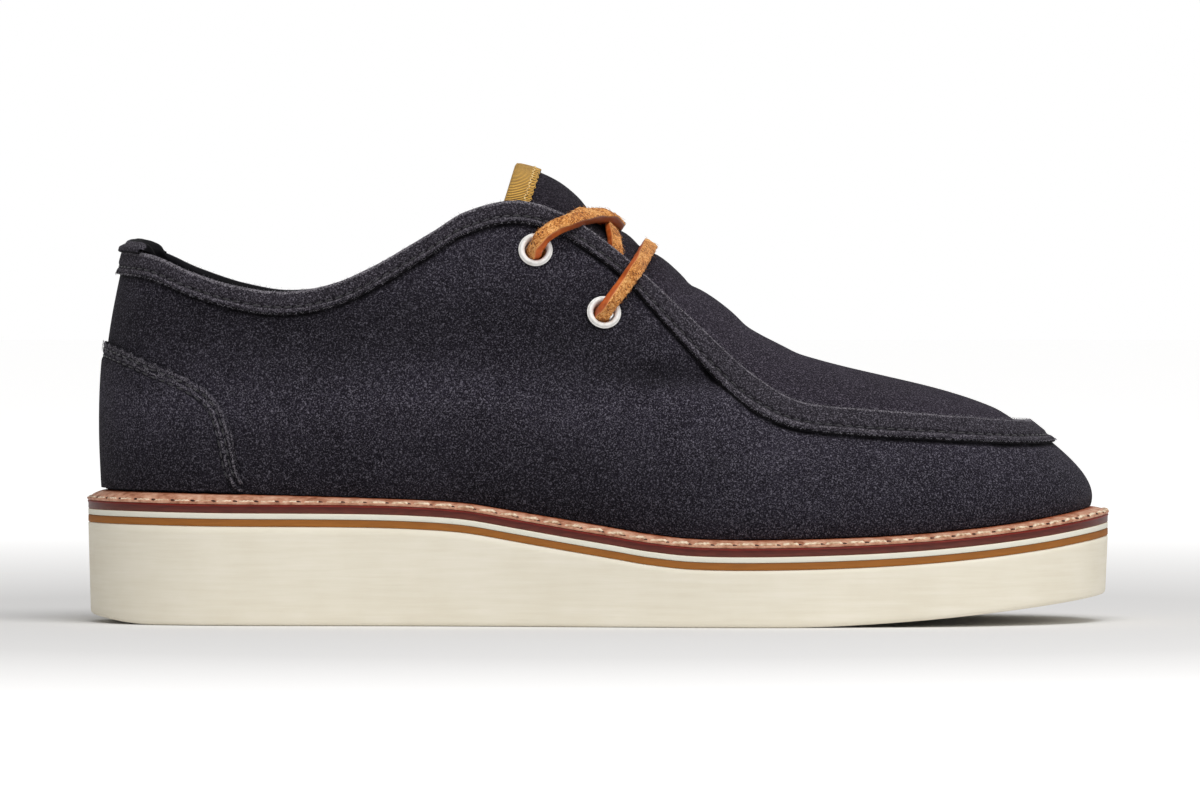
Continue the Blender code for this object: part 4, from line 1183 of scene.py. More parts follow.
@lru_cache(maxsize=None)
def tab_rows(turn):
    """The tab's cross-section, lower and slimmer towards its rounded ends."""
    share = (TAB_LATERAL - turn) / (TAB_LATERAL - TAB_MEDIAL)
    full = math.sqrt(1 - min(abs(2 * share - 1), 1.0) ** 12)
    outside = GAP + BAND_THICKNESS + GAP
    inside = WALL + outside
    top = (-TAB_STAND + TAB_FRONT_LOWER * max(2 * share - 1, 0.0) ** 1.5 + 0.0014 * (1 - full)
           + 0.00025 * noise.noise(wall_middle(turn, 1.0) * 220))
    slim = 0.6 + 0.4 * full
    outer, inner = TAB_TOP_OUTER * slim, TAB_TOP_INNER * slim
    face, back = outside + 0.8 * TAB_THICKNESS, -inside - TAB_THICKNESS
    rows = stretch((TAB_OUTER_LEG, outside + 0.0002), (TAB_OUTER_LEG, face - 0.0003), 2)
    rows += stretch((TAB_OUTER_LEG - 0.0003, face), (-0.0008, face), 4)
    rows += stretch((-0.0008, face), (top + TAB_SHOULDER, outer), 6)
    rows += [(top + TAB_SHOULDER * (1 - math.sin(angle)),
              outer - TAB_SHOULDER * (1 - math.cos(angle)))
             for angle in (math.pi * i / 8 for i in range(4))]
    rows += stretch((top, outer - TAB_SHOULDER), (top, inner + TAB_SHOULDER), 3)
    rows += stretch((top, inner + TAB_SHOULDER), (top + 0.5 * TAB_SHOULDER, inner), 3)
    rows += stretch((top + 0.5 * TAB_SHOULDER, inner), (top + 1.5 * TAB_SHOULDER, back), 4)
    rows += stretch((top + 1.5 * TAB_SHOULDER, back), (TAB_INNER_LEG, back), 14)
    rows += stretch((TAB_INNER_LEG, back), (TAB_INNER_LEG, -inside), 1)
    rows += stretch((TAB_INNER_LEG, -inside), (TAB_LOW, -inside), 6)
    rows += stretch((TAB_LOW, -inside), (TAB_LOW, outside), 4)
    rows += stretch((TAB_LOW, outside), rows[0], 2)
    return rows + rows[:1]


TAB_ROW_COUNT = len(tab_rows(0.0)) - 1
TAB_TOP_ROW = 16           # row where the flat of the top begins
TAB_LINED_TO = 41          # the inner leg's last row


def tab_sheet(u, v):
    """Round the strip's cross-section at each column."""
    turn = TAB_MEDIAL + (TAB_LATERAL - TAB_MEDIAL) * u
    depth, offset = tab_rows(turn)[round(v * TAB_ROW_COUNT)]
    return near_top(turn, depth, offset)


def tab_painted_shade(u, v):
    """Painted shade at the cut edges, pale rubbed nap and painted highlight along the fold."""
    row = round(v * TAB_ROW_COUNT)
    if row < 3 or row > TAB_LINED_TO:
        return 0.9
    return -0.2 if TAB_TOP_ROW - 6 < row < TAB_TOP_ROW else 0.0


tab = shaped_grid("suede_heel_tab", TAB_COLUMNS, TAB_ROW_COUNT, tab_sheet, suede_band, lining)
mend(fill=True)
tab.data.set_sharp_from_angle(angle=math.radians(60))
paint_shade(tab, tab_painted_shade)
line_and_shade_the_inside(tab, TAB_ROW_COUNT, TAB_TOP_ROW, TAB_LINED_TO)
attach(tab, "root")
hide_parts("heel_tab")


# ================================ tongue binding
# A gold grosgrain ribbon is folded over the tongue's end and sewn with a zigzag near its front
# edge. Its ribs run across the ribbon, 0.64 mm apart.
BINDING_WIDTH = 0.0057
BINDING_ACROSS = 1.2       # across, where the ribbon ends behind the wall
BINDING_SLACK = 0.0009     # air between the ribbon's fold and the tongue's end
BINDING_COLUMNS = 160
RIB_PITCH = 0.00064


def ahead_of_tip(across, ahead, lift):
    """Point over the tongue, a distance ahead of its end, following its face."""
    here, forward, normal = apron_frame(TONGUE_TIP, across)
    if ahead <= 0:
        return here + forward * ahead + normal * lift
    step = 0.1
    pace = (apron_point(TONGUE_TIP + step, across) - here).length / step
    here, forward, normal = apron_frame(TONGUE_TIP + ahead / pace, across)
    return here + normal * lift


BINDING_OUTER = GAP + BINDING_THICKNESS
BINDING_UNDER = APRON_THICKNESS + BINDING_SLACK
BINDING_LOW = -BINDING_UNDER - BINDING_THICKNESS
BINDING_BEHIND = -BINDING_SLACK - BINDING_THICKNESS
binding_rows = [(BINDING_WIDTH, GAP + 0.0001), (BINDING_WIDTH, BINDING_OUTER - 0.0001),
                (BINDING_WIDTH - 0.0003, BINDING_OUTER)]
binding_rows += [(BINDING_WIDTH * (1 - i / 8), BINDING_OUTER) for i in range(1, 8)]
binding_rows += [(0.0, BINDING_OUTER), (0.75 * BINDING_BEHIND, 0.8 * BINDING_OUTER),
                 (BINDING_BEHIND, 0.0), (BINDING_BEHIND, -0.5 * BINDING_UNDER),
                 (BINDING_BEHIND, -BINDING_UNDER), (0.5 * BINDING_BEHIND, 0.9 * BINDING_LOW),
                 (0.0, BINDING_LOW), (0.5 * BINDING_WIDTH, BINDING_LOW),
                 (BINDING_WIDTH, BINDING_LOW), (BINDING_WIDTH, -BINDING_UNDER),
                 (0.5 * BINDING_WIDTH, -BINDING_UNDER), (0.0, -BINDING_UNDER),
                 (-BINDING_SLACK, -0.5 * BINDING_UNDER), (-0.8 * BINDING_SLACK, 0.0),
                 (0.0, GAP), (0.5 * BINDING_WIDTH, GAP), (BINDING_WIDTH, GAP + 0.0001)]


def binding_sheet(u, v):
    """Round the folded ribbon, its front edge drawn in and out by the zigzag."""
    across = BINDING_ACROSS * (2 * u - 1)
    row = round(v * (len(binding_rows) - 1))
    ahead, lift = binding_rows[row]
    run = 2 * math.pi * u
    if row < 3 or row == len(binding_rows) - 1:
        ahead += 0.00018 * math.sin(21 * run) + 0.0001 * math.sin(53 * run)
    if 2 < row < 5:
        lift -= 0.00010 * (1 + math.sin(42 * run))
    return ahead_of_tip(across, ahead, lift)


binding = shaped_grid("grosgrain_tongue_binding", BINDING_COLUMNS, len(binding_rows) - 1,
                      binding_sheet)
binding_length = run_table(lambda across: ahead_of_tip(across, 0.003, 0.001),
                           -BINDING_ACROSS, BINDING_ACROSS, 200)[1][-1]

# Cotton and rayon grosgrain, woven and piece-dyed gold: round ribs, with a painted highlight on
# their backs and brown painted shade between them.
grosgrain = new_material("gold_grosgrain_ribbon", Roughness=0.65, Sheen_Weight=0.1,
                         Sheen_Roughness=0.4, Specular_IOR_Level=0.25)
ribbon_map = add_node(grosgrain, "UVMap").outputs["UV"]
ribbon_run = add_node(grosgrain, "Mapping", links={"Vector": ribbon_map},
                      values={"Scale": (binding_length, 0.03, 1.0)})
ribs = add_node(grosgrain, "TexWave", settings={"wave_type": "BANDS", "bands_direction": "X"},
                values={"Scale": 2 * math.pi / 20 / RIB_PITCH, "Distortion": 0.5, "Detail": 1.0,
                        "Detail Scale": 1.5}, links={"Vector": ribbon_run})
ribbon_place = add_node(grosgrain, "TexCoord").outputs["Object"]
ribbon_wear = add_node(grosgrain, "TexNoise", values={"Scale": 1 / 0.004, "Detail": 3.0},
                       links={"Vector": ribbon_place})
rib_shade = add_node(grosgrain, "Mix", values={"Factor": 0.22},
                     links={"A": ribs.outputs["Fac"], "B": ribbon_wear})
ribbon_colour = add_node(grosgrain, "ValToRGB", links={"Fac": rib_shade},
                         stops=[(0.26, "#241402"), (0.46, "#A06814"), (0.66, "#F0BC58")])
link(grosgrain, ribbon_colour, "Base Color")
rib_bump = add_node(grosgrain, "Bump", values={"Strength": 0.9, "Distance": 0.00025},
                    links={"Height": ribs.outputs["Fac"]})
link(grosgrain, rib_bump, "Normal")
binding.data.materials.append(grosgrain)
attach(binding, "root")
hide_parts("tongue_binding")

# The zigzag's thread, pale gold rayon, turns 0.7 mm in or out every 1.4 mm.
ZIGZAG_PITCH = 0.0014
ZIGZAG_HALF = 0.00035
ZIGZAG_INSET = 0.0017
zigzag_acrosses, zigzag_lengths = run_table(
    lambda across: ahead_of_tip(across, BINDING_WIDTH - ZIGZAG_INSET, BINDING_OUTER),
    -0.97 * BINDING_ACROSS, 0.97 * BINDING_ACROSS)
zigzag_turns = []
for i, across in enumerate(spaced(zigzag_acrosses, zigzag_lengths, ZIGZAG_PITCH)):
    ahead = BINDING_WIDTH - ZIGZAG_INSET + (ZIGZAG_HALF if i % 2 else -ZIGZAG_HALF)
    zigzag_turns.append((ahead_of_tip(across, ahead, BINDING_OUTER + 0.0001),
                         apron_frame(TONGUE_TIP, across)[2]))
rayon = mottled("pale_gold_rayon_thread", 0.0005, 2.0, [(0.36, "#B98A40"), (0.62, "#F3D796")],
                Roughness=0.45)
stitch = small_stitch(1.15 * ZIGZAG_PITCH, STITCH_WIDTH)
zigzag = repeated("zigzag_stitches", stitch, [
    (0.5 * (here + there), there - here, normal)
    for (here, normal), (there, _) in zip(zigzag_turns, zigzag_turns[1:])], rayon)
bpy.data.objects.remove(stitch, do_unlink=True)
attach(zigzag, "root")
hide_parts("tongue_binding")


# ================================ eyelets
# Four brass eyelets, stove-enamelled white, are pressed through the quarters and rolled over at
# the back. Each has a domed flange with a thin step round its outer edge.
EYELET_RIM = 0.0049
EYELET_HOLE = 0.00305
EYELET_HEIGHT = 0.0014
EYELET_STEPS = 72
BARREL_END = -WALL - 0.0006
EYELET_PROFILE = [
    (EYELET_HOLE, 0.0002), (EYELET_HOLE + 0.00008, 0.0006), (0.00330, 0.00100), (0.00362, 0.00128),
    (0.00398, EYELET_HEIGHT), (0.00430, 0.00132), (0.00452, 0.00110), (0.00461, 0.00088),
    (0.00464, 0.00076), (0.00470, 0.00074), (0.00482, 0.00078), (EYELET_RIM, 0.00064),
    (EYELET_RIM, 0.00044), (0.00480, GAP), (EYELET_BARREL, GAP), (EYELET_BARREL, BARREL_END),
    (0.0041, BARREL_END + 0.0001), (0.0044, BARREL_END - 0.0002), (0.0043, BARREL_END - 0.0006),
    (0.0038, BARREL_END - 0.0007), (0.0033, BARREL_END - 0.0005), (EYELET_HOLE, BARREL_END),
]

# White stove enamel over brass: smooth and bright, a thin glossy coat, slightly grey in wear.
enamel = mottled("white_stove_enamel", 0.0018, 4.0, [(0.36, "#DCD8D3"), (0.52, "#EFEDEA")],
                 Roughness=0.34, Coat_Weight=0.35, Coat_Roughness=0.12)

for level in EYELET_PLACES:
    for side in ("lateral", "medial"):
        centre, _, rotation = eyelet_frame(level, side == "medial")
        mesh = bpy.data.meshes.new(f"enamel_eyelet_{side}_{level}")
        count = len(EYELET_PROFILE)
        mesh.from_pydata([(radius, 0.0, height) for radius, height in EYELET_PROFILE],
                         [(i, (i + 1) % count) for i in range(count)], [])
        eyelet = bpy.data.objects.new(mesh.name, mesh)
        bpy.context.scene.collection.objects.link(eyelet)
        apply(eyelet, "SCREW", steps=EYELET_STEPS, render_steps=EYELET_STEPS,
              use_merge_vertices=True, merge_threshold=0.00001, use_smooth_shade=True)
        eyelet.data.transform(rotation.to_matrix().to_4x4())
        eyelet.data.transform(Matrix.Translation(centre))
        eyelet.data.materials.append(enamel)
        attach(eyelet, "root")
        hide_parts(f"eyelet_{side}_{level}")


# ================================ lace
# One square-cut leather thong: from inside the upper medial eyelet it crosses under to the lower
# lateral eyelet, bars over to the medial one, crosses back and makes the upper bar. Its fuzzy flesh
# face is outside, its cut sides are smooth. Both ends stop inside at the upper medial eyelet.
LACE_WIDTH = 0.0042
LACE_THICKNESS = 0.0029
LACE_STEPS = 14            # steps from one stop of the route to the next
LACE_SETTLES = 6           # rounds in which a stop closes in on its place
TONGUE_MIDDLE = 0.0005     # Y of the tongue's middle
LATERAL_FACING = 75        # how far a stop in the air faces its own side, for each metre aside
MEDIAL_FACING = 55
Stop = namedtuple("Stop", "point normal thin")


def rolled(normal, roll):
    """A normal tilted towards a direction, which turns the thong about its own length."""
    return (normal + Vector(roll)).normalized()


def over_tongue(x, across, lift, thin=1.0, roll=(0, 0, 0)):
    """Lace stop above the apron or tongue, with the thong's middle at x."""
    aim = x
    for _ in range(LACE_SETTLES):
        face, normal = puffed_apron(turn_at(aim, TOP), across)
        point = face + normal * lift
        aim += x - point.x
    return Stop(point, rolled(normal, roll), thin)


def up_the_tongue(x, height, lift, medial, roll):
    """Lace stop above the tongue, where the thong's middle reaches a height."""
    def stop_at(aside):
        return over_tongue(x, aside if medial else -aside, lift, 1.0, roll)

    return stop_at(halved(1.0, lambda aside: stop_at(aside).point.z > height))


def inside_wall(x, depth, offset, medial, thin):
    """Lace stop behind the side wall, a depth under its top edge."""
    turn = turn_at(x, TOP)
    turn = TURN - turn if medial else turn
    return Stop(near_top(turn, depth, offset), wall_normal(turn, down_the_wall(turn, depth)), thin)


def beside_wall(x, height, lift, medial, roll):
    """Lace stop off the side wall; x and height are those of the thong's middle."""
    aim_x, aim_height = x, height
    for _ in range(LACE_SETTLES):
        turn, rise = wall_at(aim_x, aim_height, medial)
        point = wall(turn, rise, lift)
        aim_x += x - point.x
        aim_height = min(aim_height + height - point.z, wall_middle(turn, 0.999).z)
    return Stop(point, rolled(wall_normal(turn, rise), roll), 1.0)


def through_eyelet(level, medial, towards, roll):
    """Stops from inside the shoe out through an eyelet, bending over towards a point."""
    centre, normal, _ = eyelet_frame(level, medial)
    lean = towards - centre
    lean = (lean - lean.dot(normal) * normal).normalized()
    # slide towards the point, lift off the wall, bend, and share of the roll taken up
    course = [(-0.0012, -0.0052, 1.0, 0.0), (-0.0010, -0.0026, 1.0, 0.3),
              (-0.0005, 0.0004, 0.80, 0.6), (0.0012, 0.0027, 0.38, 1.0)]
    return [Stop(centre + lean * slide + normal * lift,
                 rolled(normal * (1 - bend) - lean * bend, Vector(roll) * turned), 1.0)
            for slide, lift, bend, turned in course]


def half_bar(level, medial, roll, wall_stops, tongue_stops, free_stops):
    """Stops of one side of a bar, from inside the eyelet to near the crown.

    The roll eases off up the wall, and is nearly gone over the tongue.
    """
    over = [beside_wall(x, height, lift, medial, Vector(roll) * (1 - 0.25 * k))
            for k, (x, height, lift) in enumerate(wall_stops)]
    over += [up_the_tongue(x, height, lift, medial, Vector(roll) * 0.15)
             for x, height, lift in tongue_stops]
    for x, aside, height in free_stops:
        y = TONGUE_MIDDLE + (aside if medial else -aside)
        facing = (MEDIAL_FACING if medial else -LATERAL_FACING) * aside
        up = Vector((0.3, facing - 0.15, 0.75)).normalized()
        over.append(Stop(Vector((x, y, height)), rolled(up, Vector(roll) * 0.3), 1.0))
    return through_eyelet(level, medial, over[0].point, roll) + over


def bar(level, roll, wall_stops, tongue_stops, free_stops, crown):
    """Stops of a whole bar from the lateral eyelet to the medial one."""
    x, height, thin = crown
    top = Stop(Vector((x, TONGUE_MIDDLE, height)), Vector((0.55, -0.22, 0.80)).normalized(), thin)
    return (half_bar(level, False, roll, wall_stops, tongue_stops, free_stops) + [top]
            + half_bar(level, True, roll, wall_stops, tongue_stops, free_stops)[::-1])


def crossing(low_side, lift):
    """Stops from inside one quarter, low, over the tongue to inside the other, high."""
    clear = GAP + 0.5 * LACE_THICKNESS
    medial_first = low_side > 0
    roll = (0.55, 0, 0.1)
    under = [inside_wall(0.0032, 0.0120, -0.0042, medial_first, 0.7),
             inside_wall(0.0042, 0.0050, -0.0039, medial_first, 0.45)]
    over = [over_tongue(0.0046, low_side * 0.97, 0.0006, 0.40, roll),
            over_tongue(0.0044, low_side * 0.80, clear, 0.90, roll),
            over_tongue(0.0038, low_side * 0.52, 0.9 * clear, 0.80, roll),
            over_tongue(0.0028, low_side * 0.22, 0.6 * clear + 0.3 * lift, 0.55, roll),
            over_tongue(0.0012, 0.0, 0.5 * clear + 0.7 * lift, 0.50),
            over_tongue(-0.0008, -low_side * 0.25, 0.5 * clear + 0.1 * lift, 0.50),
            over_tongue(-0.0038, -low_side * 0.55, 0.55 * clear, 0.60),
            over_tongue(-0.0070, -low_side * 0.80, 0.50 * clear, 0.60),
            over_tongue(-0.0086, -low_side * 0.97, 0.0006, 0.40)]
    away = [inside_wall(-0.0100, 0.0050, -0.0039, not medial_first, 0.45),
            inside_wall(-0.0125, 0.0095, -0.0042, not medial_first, 0.7)]
    return under + over + away


BAND_LIFT = GAP + BAND_THICKNESS + GAP + 0.5 * LACE_THICKNESS
TONGUE_LIFT = 2 * GAP + 0.5 * LACE_THICKNESS
lower_bar = bar("lower", (0.90, 0, -0.58),
                [(0.0038, 0.0934, BAND_LIFT + 0.0005), (0.0072, 0.0979, BAND_LIFT),
                 (0.0104, 0.1024, BAND_LIFT)],
                [(0.0130, 0.1066, TONGUE_LIFT + 0.0006)], [], (0.0143, 0.1087, 0.85))
upper_bar = bar("upper", (-0.25, 0, 0.85),
                [(-0.0162, 0.1114, BAND_LIFT + 0.0005), (-0.0125, 0.1140, BAND_LIFT),
                 (-0.0085, 0.1156, BAND_LIFT + 0.0002)],
                [(-0.0044, 0.1169, TONGUE_LIFT + 0.0016)],
                [(-0.0008, 0.0130, 0.1174), (0.0028, 0.0074, 0.1170)], (0.0050, 0.1149, 0.95))
lace_route = (crossing(-1, 0.0)[::-1] + lower_bar
              + crossing(1, 0.62 * LACE_THICKNESS + GAP) + upper_bar)
lace_points = [stop.point for stop in lace_route]


def on_route(i, t):
    """Point of the thong's middle between stops i and i + 1."""
    before, after = max(i - 1, 0), min(i + 2, len(lace_points) - 1)
    return catmull_rom(lace_points[before], *lace_points[i:i + 2], lace_points[after], t)


@lru_cache(maxsize=None)
def lace_at(step):
    """Middle, side and up of the thong, and its thinning, at one step of the route."""
    i, part = divmod(step, LACE_STEPS)
    if i == len(lace_route) - 1:
        i, part = i - 1, LACE_STEPS
    t = part / LACE_STEPS
    ahead = on_route(i, min(t + 0.05, 1.0)) - on_route(i, max(t - 0.05, 0.0))
    near, far = lace_route[i], lace_route[i + 1]
    up = near.normal.lerp(far.normal, t * t * (3 - 2 * t))
    side = ahead.cross(up).normalized()
    thin = near.thin + (far.thin - near.thin) * t
    return on_route(i, t), side, side.cross(ahead).normalized(), thin


# The thong's section as shares of its half width and half thickness; the flesh face comes first.
FLESH_SPANS = 11
FLESH_ROUGH = 0.00030
CUT_ROUGH = 0.00006
LACE_SECTION = [(wide, 1.06 - 0.22 * abs(wide) ** 8)
                for wide in (2.0 * i / FLESH_SPANS - 1.0 for i in range(FLESH_SPANS + 1))]
LACE_SECTION += [(1.0, 0.35), (1.0, -0.35), (0.97, -0.82), (0.80, -1.0), (0.0, -1.0),
                 (-0.80, -1.0), (-0.97, -0.82), (-1.0, -0.35), (-1.0, 0.35), LACE_SECTION[0]]
LACE_SPANS = len(LACE_SECTION) - 1
LACE_LAST = (len(lace_route) - 1) * LACE_STEPS


def lace_sheet(u, v):
    """Round the thong at each step; its first and last step close the ends."""
    step = round(u * LACE_LAST)
    here, side, up, thin = lace_at(step)
    if step in (0, LACE_LAST):
        return here
    k = round(v * LACE_SPANS) % LACE_SPANS
    wide, thick = LACE_SECTION[k]
    rough = FLESH_ROUGH if k <= FLESH_SPANS else CUT_ROUGH
    wander = 1 + 0.06 * noise.noise(here * 260)
    point = (here + side * (0.5 * LACE_WIDTH * wide * wander)
             + up * (0.5 * LACE_THICKNESS * thin * thick))
    push = rough * noise.noise(point * 1500)
    return point + (side * wide + up * thick).normalized() * push


lace = shaped_grid("leather_lace", LACE_LAST, LACE_SPANS, lace_sheet)

# The flesh side of oiled cowhide, split and left rough: golden tan fibres over small dark pits,
# which are drawn at 0.7 mm.
flesh = new_material("oiled_cowhide_flesh_side", Roughness=0.9, Sheen_Weight=0.05)
flesh_place = add_node(flesh, "TexCoord").outputs["Object"]
flesh_pits = add_node(flesh, "TexNoise", values={"Scale": 1 / 0.0007, "Detail": 3.0,
                                                 "Roughness": 0.7, "Distortion": 1.2},
                      links={"Vector": flesh_place})
flesh_patches = add_node(flesh, "TexNoise", values={"Scale": 1 / 0.006, "Detail": 2.0},
                         links={"Vector": flesh_place})
flesh_mix = add_node(flesh, "Mix", values={"Factor": 0.25},
                     links={"A": flesh_pits, "B": flesh_patches})
flesh_colour = add_node(flesh, "ValToRGB", links={"Fac": flesh_mix},
                        stops=[(0.38, "#3E1B08"), (0.44, "#A0581E"), (0.50, "#D68A3C"),
                               (0.62, "#F6C07A")])
link(flesh, flesh_colour, "Base Color")
flesh_bump = add_node(flesh, "Bump", values={"Strength": 0.9, "Distance": 0.0004},
                      links={"Height": flesh_pits})
link(flesh, flesh_bump, "Normal")

# The grain side and cut sides of the same hide, waxed: smooth orange brown, darker along the upper
# bar towards its end, and paler along the corner that the knife left.
grain = new_material("waxed_cowhide_grain_side", Roughness=0.48)
grain_place = add_node(grain, "TexCoord").outputs["Object"]
grain_patches = add_node(grain, "TexNoise", values={"Scale": 1 / 0.0045, "Detail": 4.0,
                                                    "Roughness": 0.6},
                         links={"Vector": grain_place})
grain_colour = add_node(grain, "ValToRGB", links={"Fac": grain_patches},
                        stops=[(0.34, "#9A4316"), (0.50, "#BF5A20"), (0.66, "#D8702F")])
grain_map = add_node(grain, "UVMap").outputs["UV"]
grain_axes = add_node(grain, "SeparateXYZ", links={"Vector": grain_map})
corner = add_node(grain, "ValToRGB", links={"Fac": grain_axes.outputs["Y"]},
                  stops=[(FLESH_SPANS / LACE_SPANS, 0.9), ((FLESH_SPANS + 0.8) / LACE_SPANS, 0.0),
                         (1 - 0.8 / LACE_SPANS, 0.0), (1 - 0.1 / LACE_SPANS, 0.9)])
cut_corner = add_node(grain, "Mix", settings=COLOUR_MIX, values={"B": linear("#D99A5C")},
                      links={"Factor": corner, "A": grain_colour})
# The upper bar turns nearly to brown, a few stops after it leaves its eyelet.
DARKENING_STOPS = (3.5, 6.5)   # stops of the upper bar between which it darkens
upper_bar_starts = len(lace_route) - len(upper_bar)
darkening_from, darkened_by = ((upper_bar_starts + k) / (len(lace_route) - 1) for k in DARKENING_STOPS)
darkening = add_node(grain, "ValToRGB", links={"Fac": grain_axes.outputs["X"]},
                 stops=[(darkening_from, 0.0), (darkened_by, 0.85)])
darkened_grain = add_node(grain, "Mix", settings=COLOUR_MIX, values={"B": linear("#6B3216")},
                       links={"Factor": darkening, "A": cut_corner})
link(grain, darkened_grain, "Base Color")
grain_pores = add_node(grain, "TexNoise", values={"Scale": 1 / 0.0004, "Detail": 2.0},
                       links={"Vector": grain_place})
grain_bump = add_node(grain, "Bump", values={"Strength": 0.3, "Distance": 0.0001},
                      links={"Height": grain_pores})
link(grain, grain_bump, "Normal")
lace.data.materials.append(flesh)
lace.data.materials.append(grain)
lace_map = lace.data.uv_layers[0].data
for face in lace.data.polygons:
    place_round = sum(lace_map[k].uv[1] for k in face.loop_indices) / len(face.loop_indices)
    face.material_index = 0 if place_round * LACE_SPANS < FLESH_SPANS else 1
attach(lace, "root")
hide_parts("lace_lower_bar", "lace_crossing", "lace_upper_bar")

# Loose fibres that stand up from the flesh face and along its two corners.
LACE_FIBRE_LENGTH = 0.0011
LACE_FIBRE_WIDTH = 0.00011
LACE_FIBRES = 620
fibre = small_fibre(LACE_FIBRE_LENGTH, LACE_FIBRE_WIDTH)
fibre_places = []
for i in range(LACE_FIBRES):
    step = 1 + (i * 389) % (LACE_LAST - 2)
    here, side, up, thin = lace_at(step)
    across = math.sin(12.9 * i)
    across = math.copysign(abs(across) ** 0.4, across)
    root = here + side * (0.5 * LACE_WIDTH * 0.95 * across) + up * (0.5 * LACE_THICKNESS * thin)
    drift = side * (0.7 * across) + up * (0.45 + 0.3 * math.sin(7.7 * i))
    length = side.cross(up) * math.cos(31.7 * i) * 1.3
    along = (drift + length).normalized()
    fibre_places.append((root + along * 0.0003, along, up))
lace_fibres = repeated("lace_fibres", fibre, fibre_places, flesh)
bpy.data.objects.remove(fibre, do_unlink=True)
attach(lace_fibres, "root")
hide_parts("lace_lower_bar")


# ================================ insole
# A foot bed of black-dyed leather over cork lies on the turned-in margin. It is moulded a little
# hollow under the heel and domed under the arch, and its edge is skived round.
INSOLE_THICKNESS = 0.0030
INSOLE_SKIN = 0.0006       # the shell that is modelled of it
ARCH_RISE = 0.0015
HEEL_HOLLOW = 0.0008
SOLE_COLUMNS = 320
INSOLE_ROWS = [  # inset from the wall, height under the top, share of the way to the middle
    (0.0010, 0.0022, 0.0), (0.0010, 0.0010, 0.0), (0.0013, 0.0004, 0.0), (0.0020, 0.0, 0.0),
    (0.0020, 0.0, 0.15), (0.0020, 0.0, 0.35), (0.0020, 0.0, 0.6), (0.0020, 0.0, 0.8),
    (0.0020, 0.0, 1.0),
]


def spanned(turn, share, edge_point):
    """edge_point(turn) at share 0; at share 1 the middle between the two sides of the foot."""
    here = edge_point(turn)
    return here.lerp(0.5 * (here + edge_point(-turn)), share)


def insole_sheet(u, v):
    """From the skived edge up and in to the middle of the foot bed."""
    inset, drop, share = INSOLE_ROWS[round(v * (len(INSOLE_ROWS) - 1))]

    def edge_point(turn):
        top = welt_height(turn) + GAP + WALL + GAP + INSOLE_THICKNESS
        return ring(turn, -WALL - inset, top - drop)

    point = spanned(TURN * u, share, edge_point)
    under_arch = soft_step(point.x, -0.06, -0.02) * (1 - soft_step(point.x, 0.0, 0.05))
    under_heel = 1 - soft_step(point.x, -0.09, -0.05)
    return point + Vector((0, 0, share * (ARCH_RISE * under_arch - HEEL_HOLLOW * under_heel)))


insole = shaped_grid("leather_insole", SOLE_COLUMNS, len(INSOLE_ROWS) - 1, insole_sheet, lining)
if sum(face.normal.z for face in insole.data.polygons) < 0:
    insole.data.flip_normals()
apply(insole, "SOLIDIFY", thickness=INSOLE_SKIN, offset=-1.0)
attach(insole, "root")
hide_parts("insole")


# ================================ welt
# A strip of natural vegetable-tanned leather runs round the shoe between upper and sole. Its top
# slopes to a rounded edge, and a waxed, twisted cotton thread stitches it down, a stitch every
# 6.3 mm through slanted awl slots.
WELT_OVERHANG = 0.0053
WELT_INNER = 0.0085
WELT_EDGE = 0.0008         # height of the welt's outer edge, below the slope of its top
WELT_PITCH = 0.0063
WELT_THREAD = 0.0011       # thickness of the thread, and its line outside the feather line
WELT_THREAD_OUT = 0.0047
WELT_CHANNEL = 0.0008      # half width and depth of the channel that the thread lies in
WELT_CHANNEL_DEPTH = 0.00018
WELT_HOLE_DEPTH = 0.00030  # how much deeper it is at a hole
WELT_COLUMNS = 640
WELT_CEMENT = 0.00004
WELT_THICKNESS = [  # shares of HEEL_STACK
    (0.00, 0.076), (0.12, 0.076), (0.30, 0.050), (0.50, 0.058),
    (1.00, 0.050),
]


def welt_depth(turn):
    """Thickness of the welt where the upper meets it."""
    return read(WELT_THICKNESS, spline(FEATHER, turn).x, HEEL_STACK)


def welt_top(turn, out):
    """Point of the welt's top face, sloping down and rounded over at its outer edge."""
    drop = (welt_depth(turn) - WELT_EDGE) * max(out / WELT_OVERHANG, 0.0) ** 1.6
    return ring(turn, out, welt_height(turn) - drop)


def welt_thread_place(turn):
    """Point of the thread's line on the welt's top."""
    return welt_top(turn, WELT_THREAD_OUT)


welt_turns, welt_lengths = run_table(welt_thread_place, 0.0, TURN)
WELT_OUTS = ([-WELT_INNER, -WELT_INNER, -0.0030, -0.0006, 0.0]
             + [WELT_OVERHANG * (i + 1) / 15 for i in range(15)])
WELT_EDGE_DROPS = (0.15, 0.45, 0.8, 0.97)


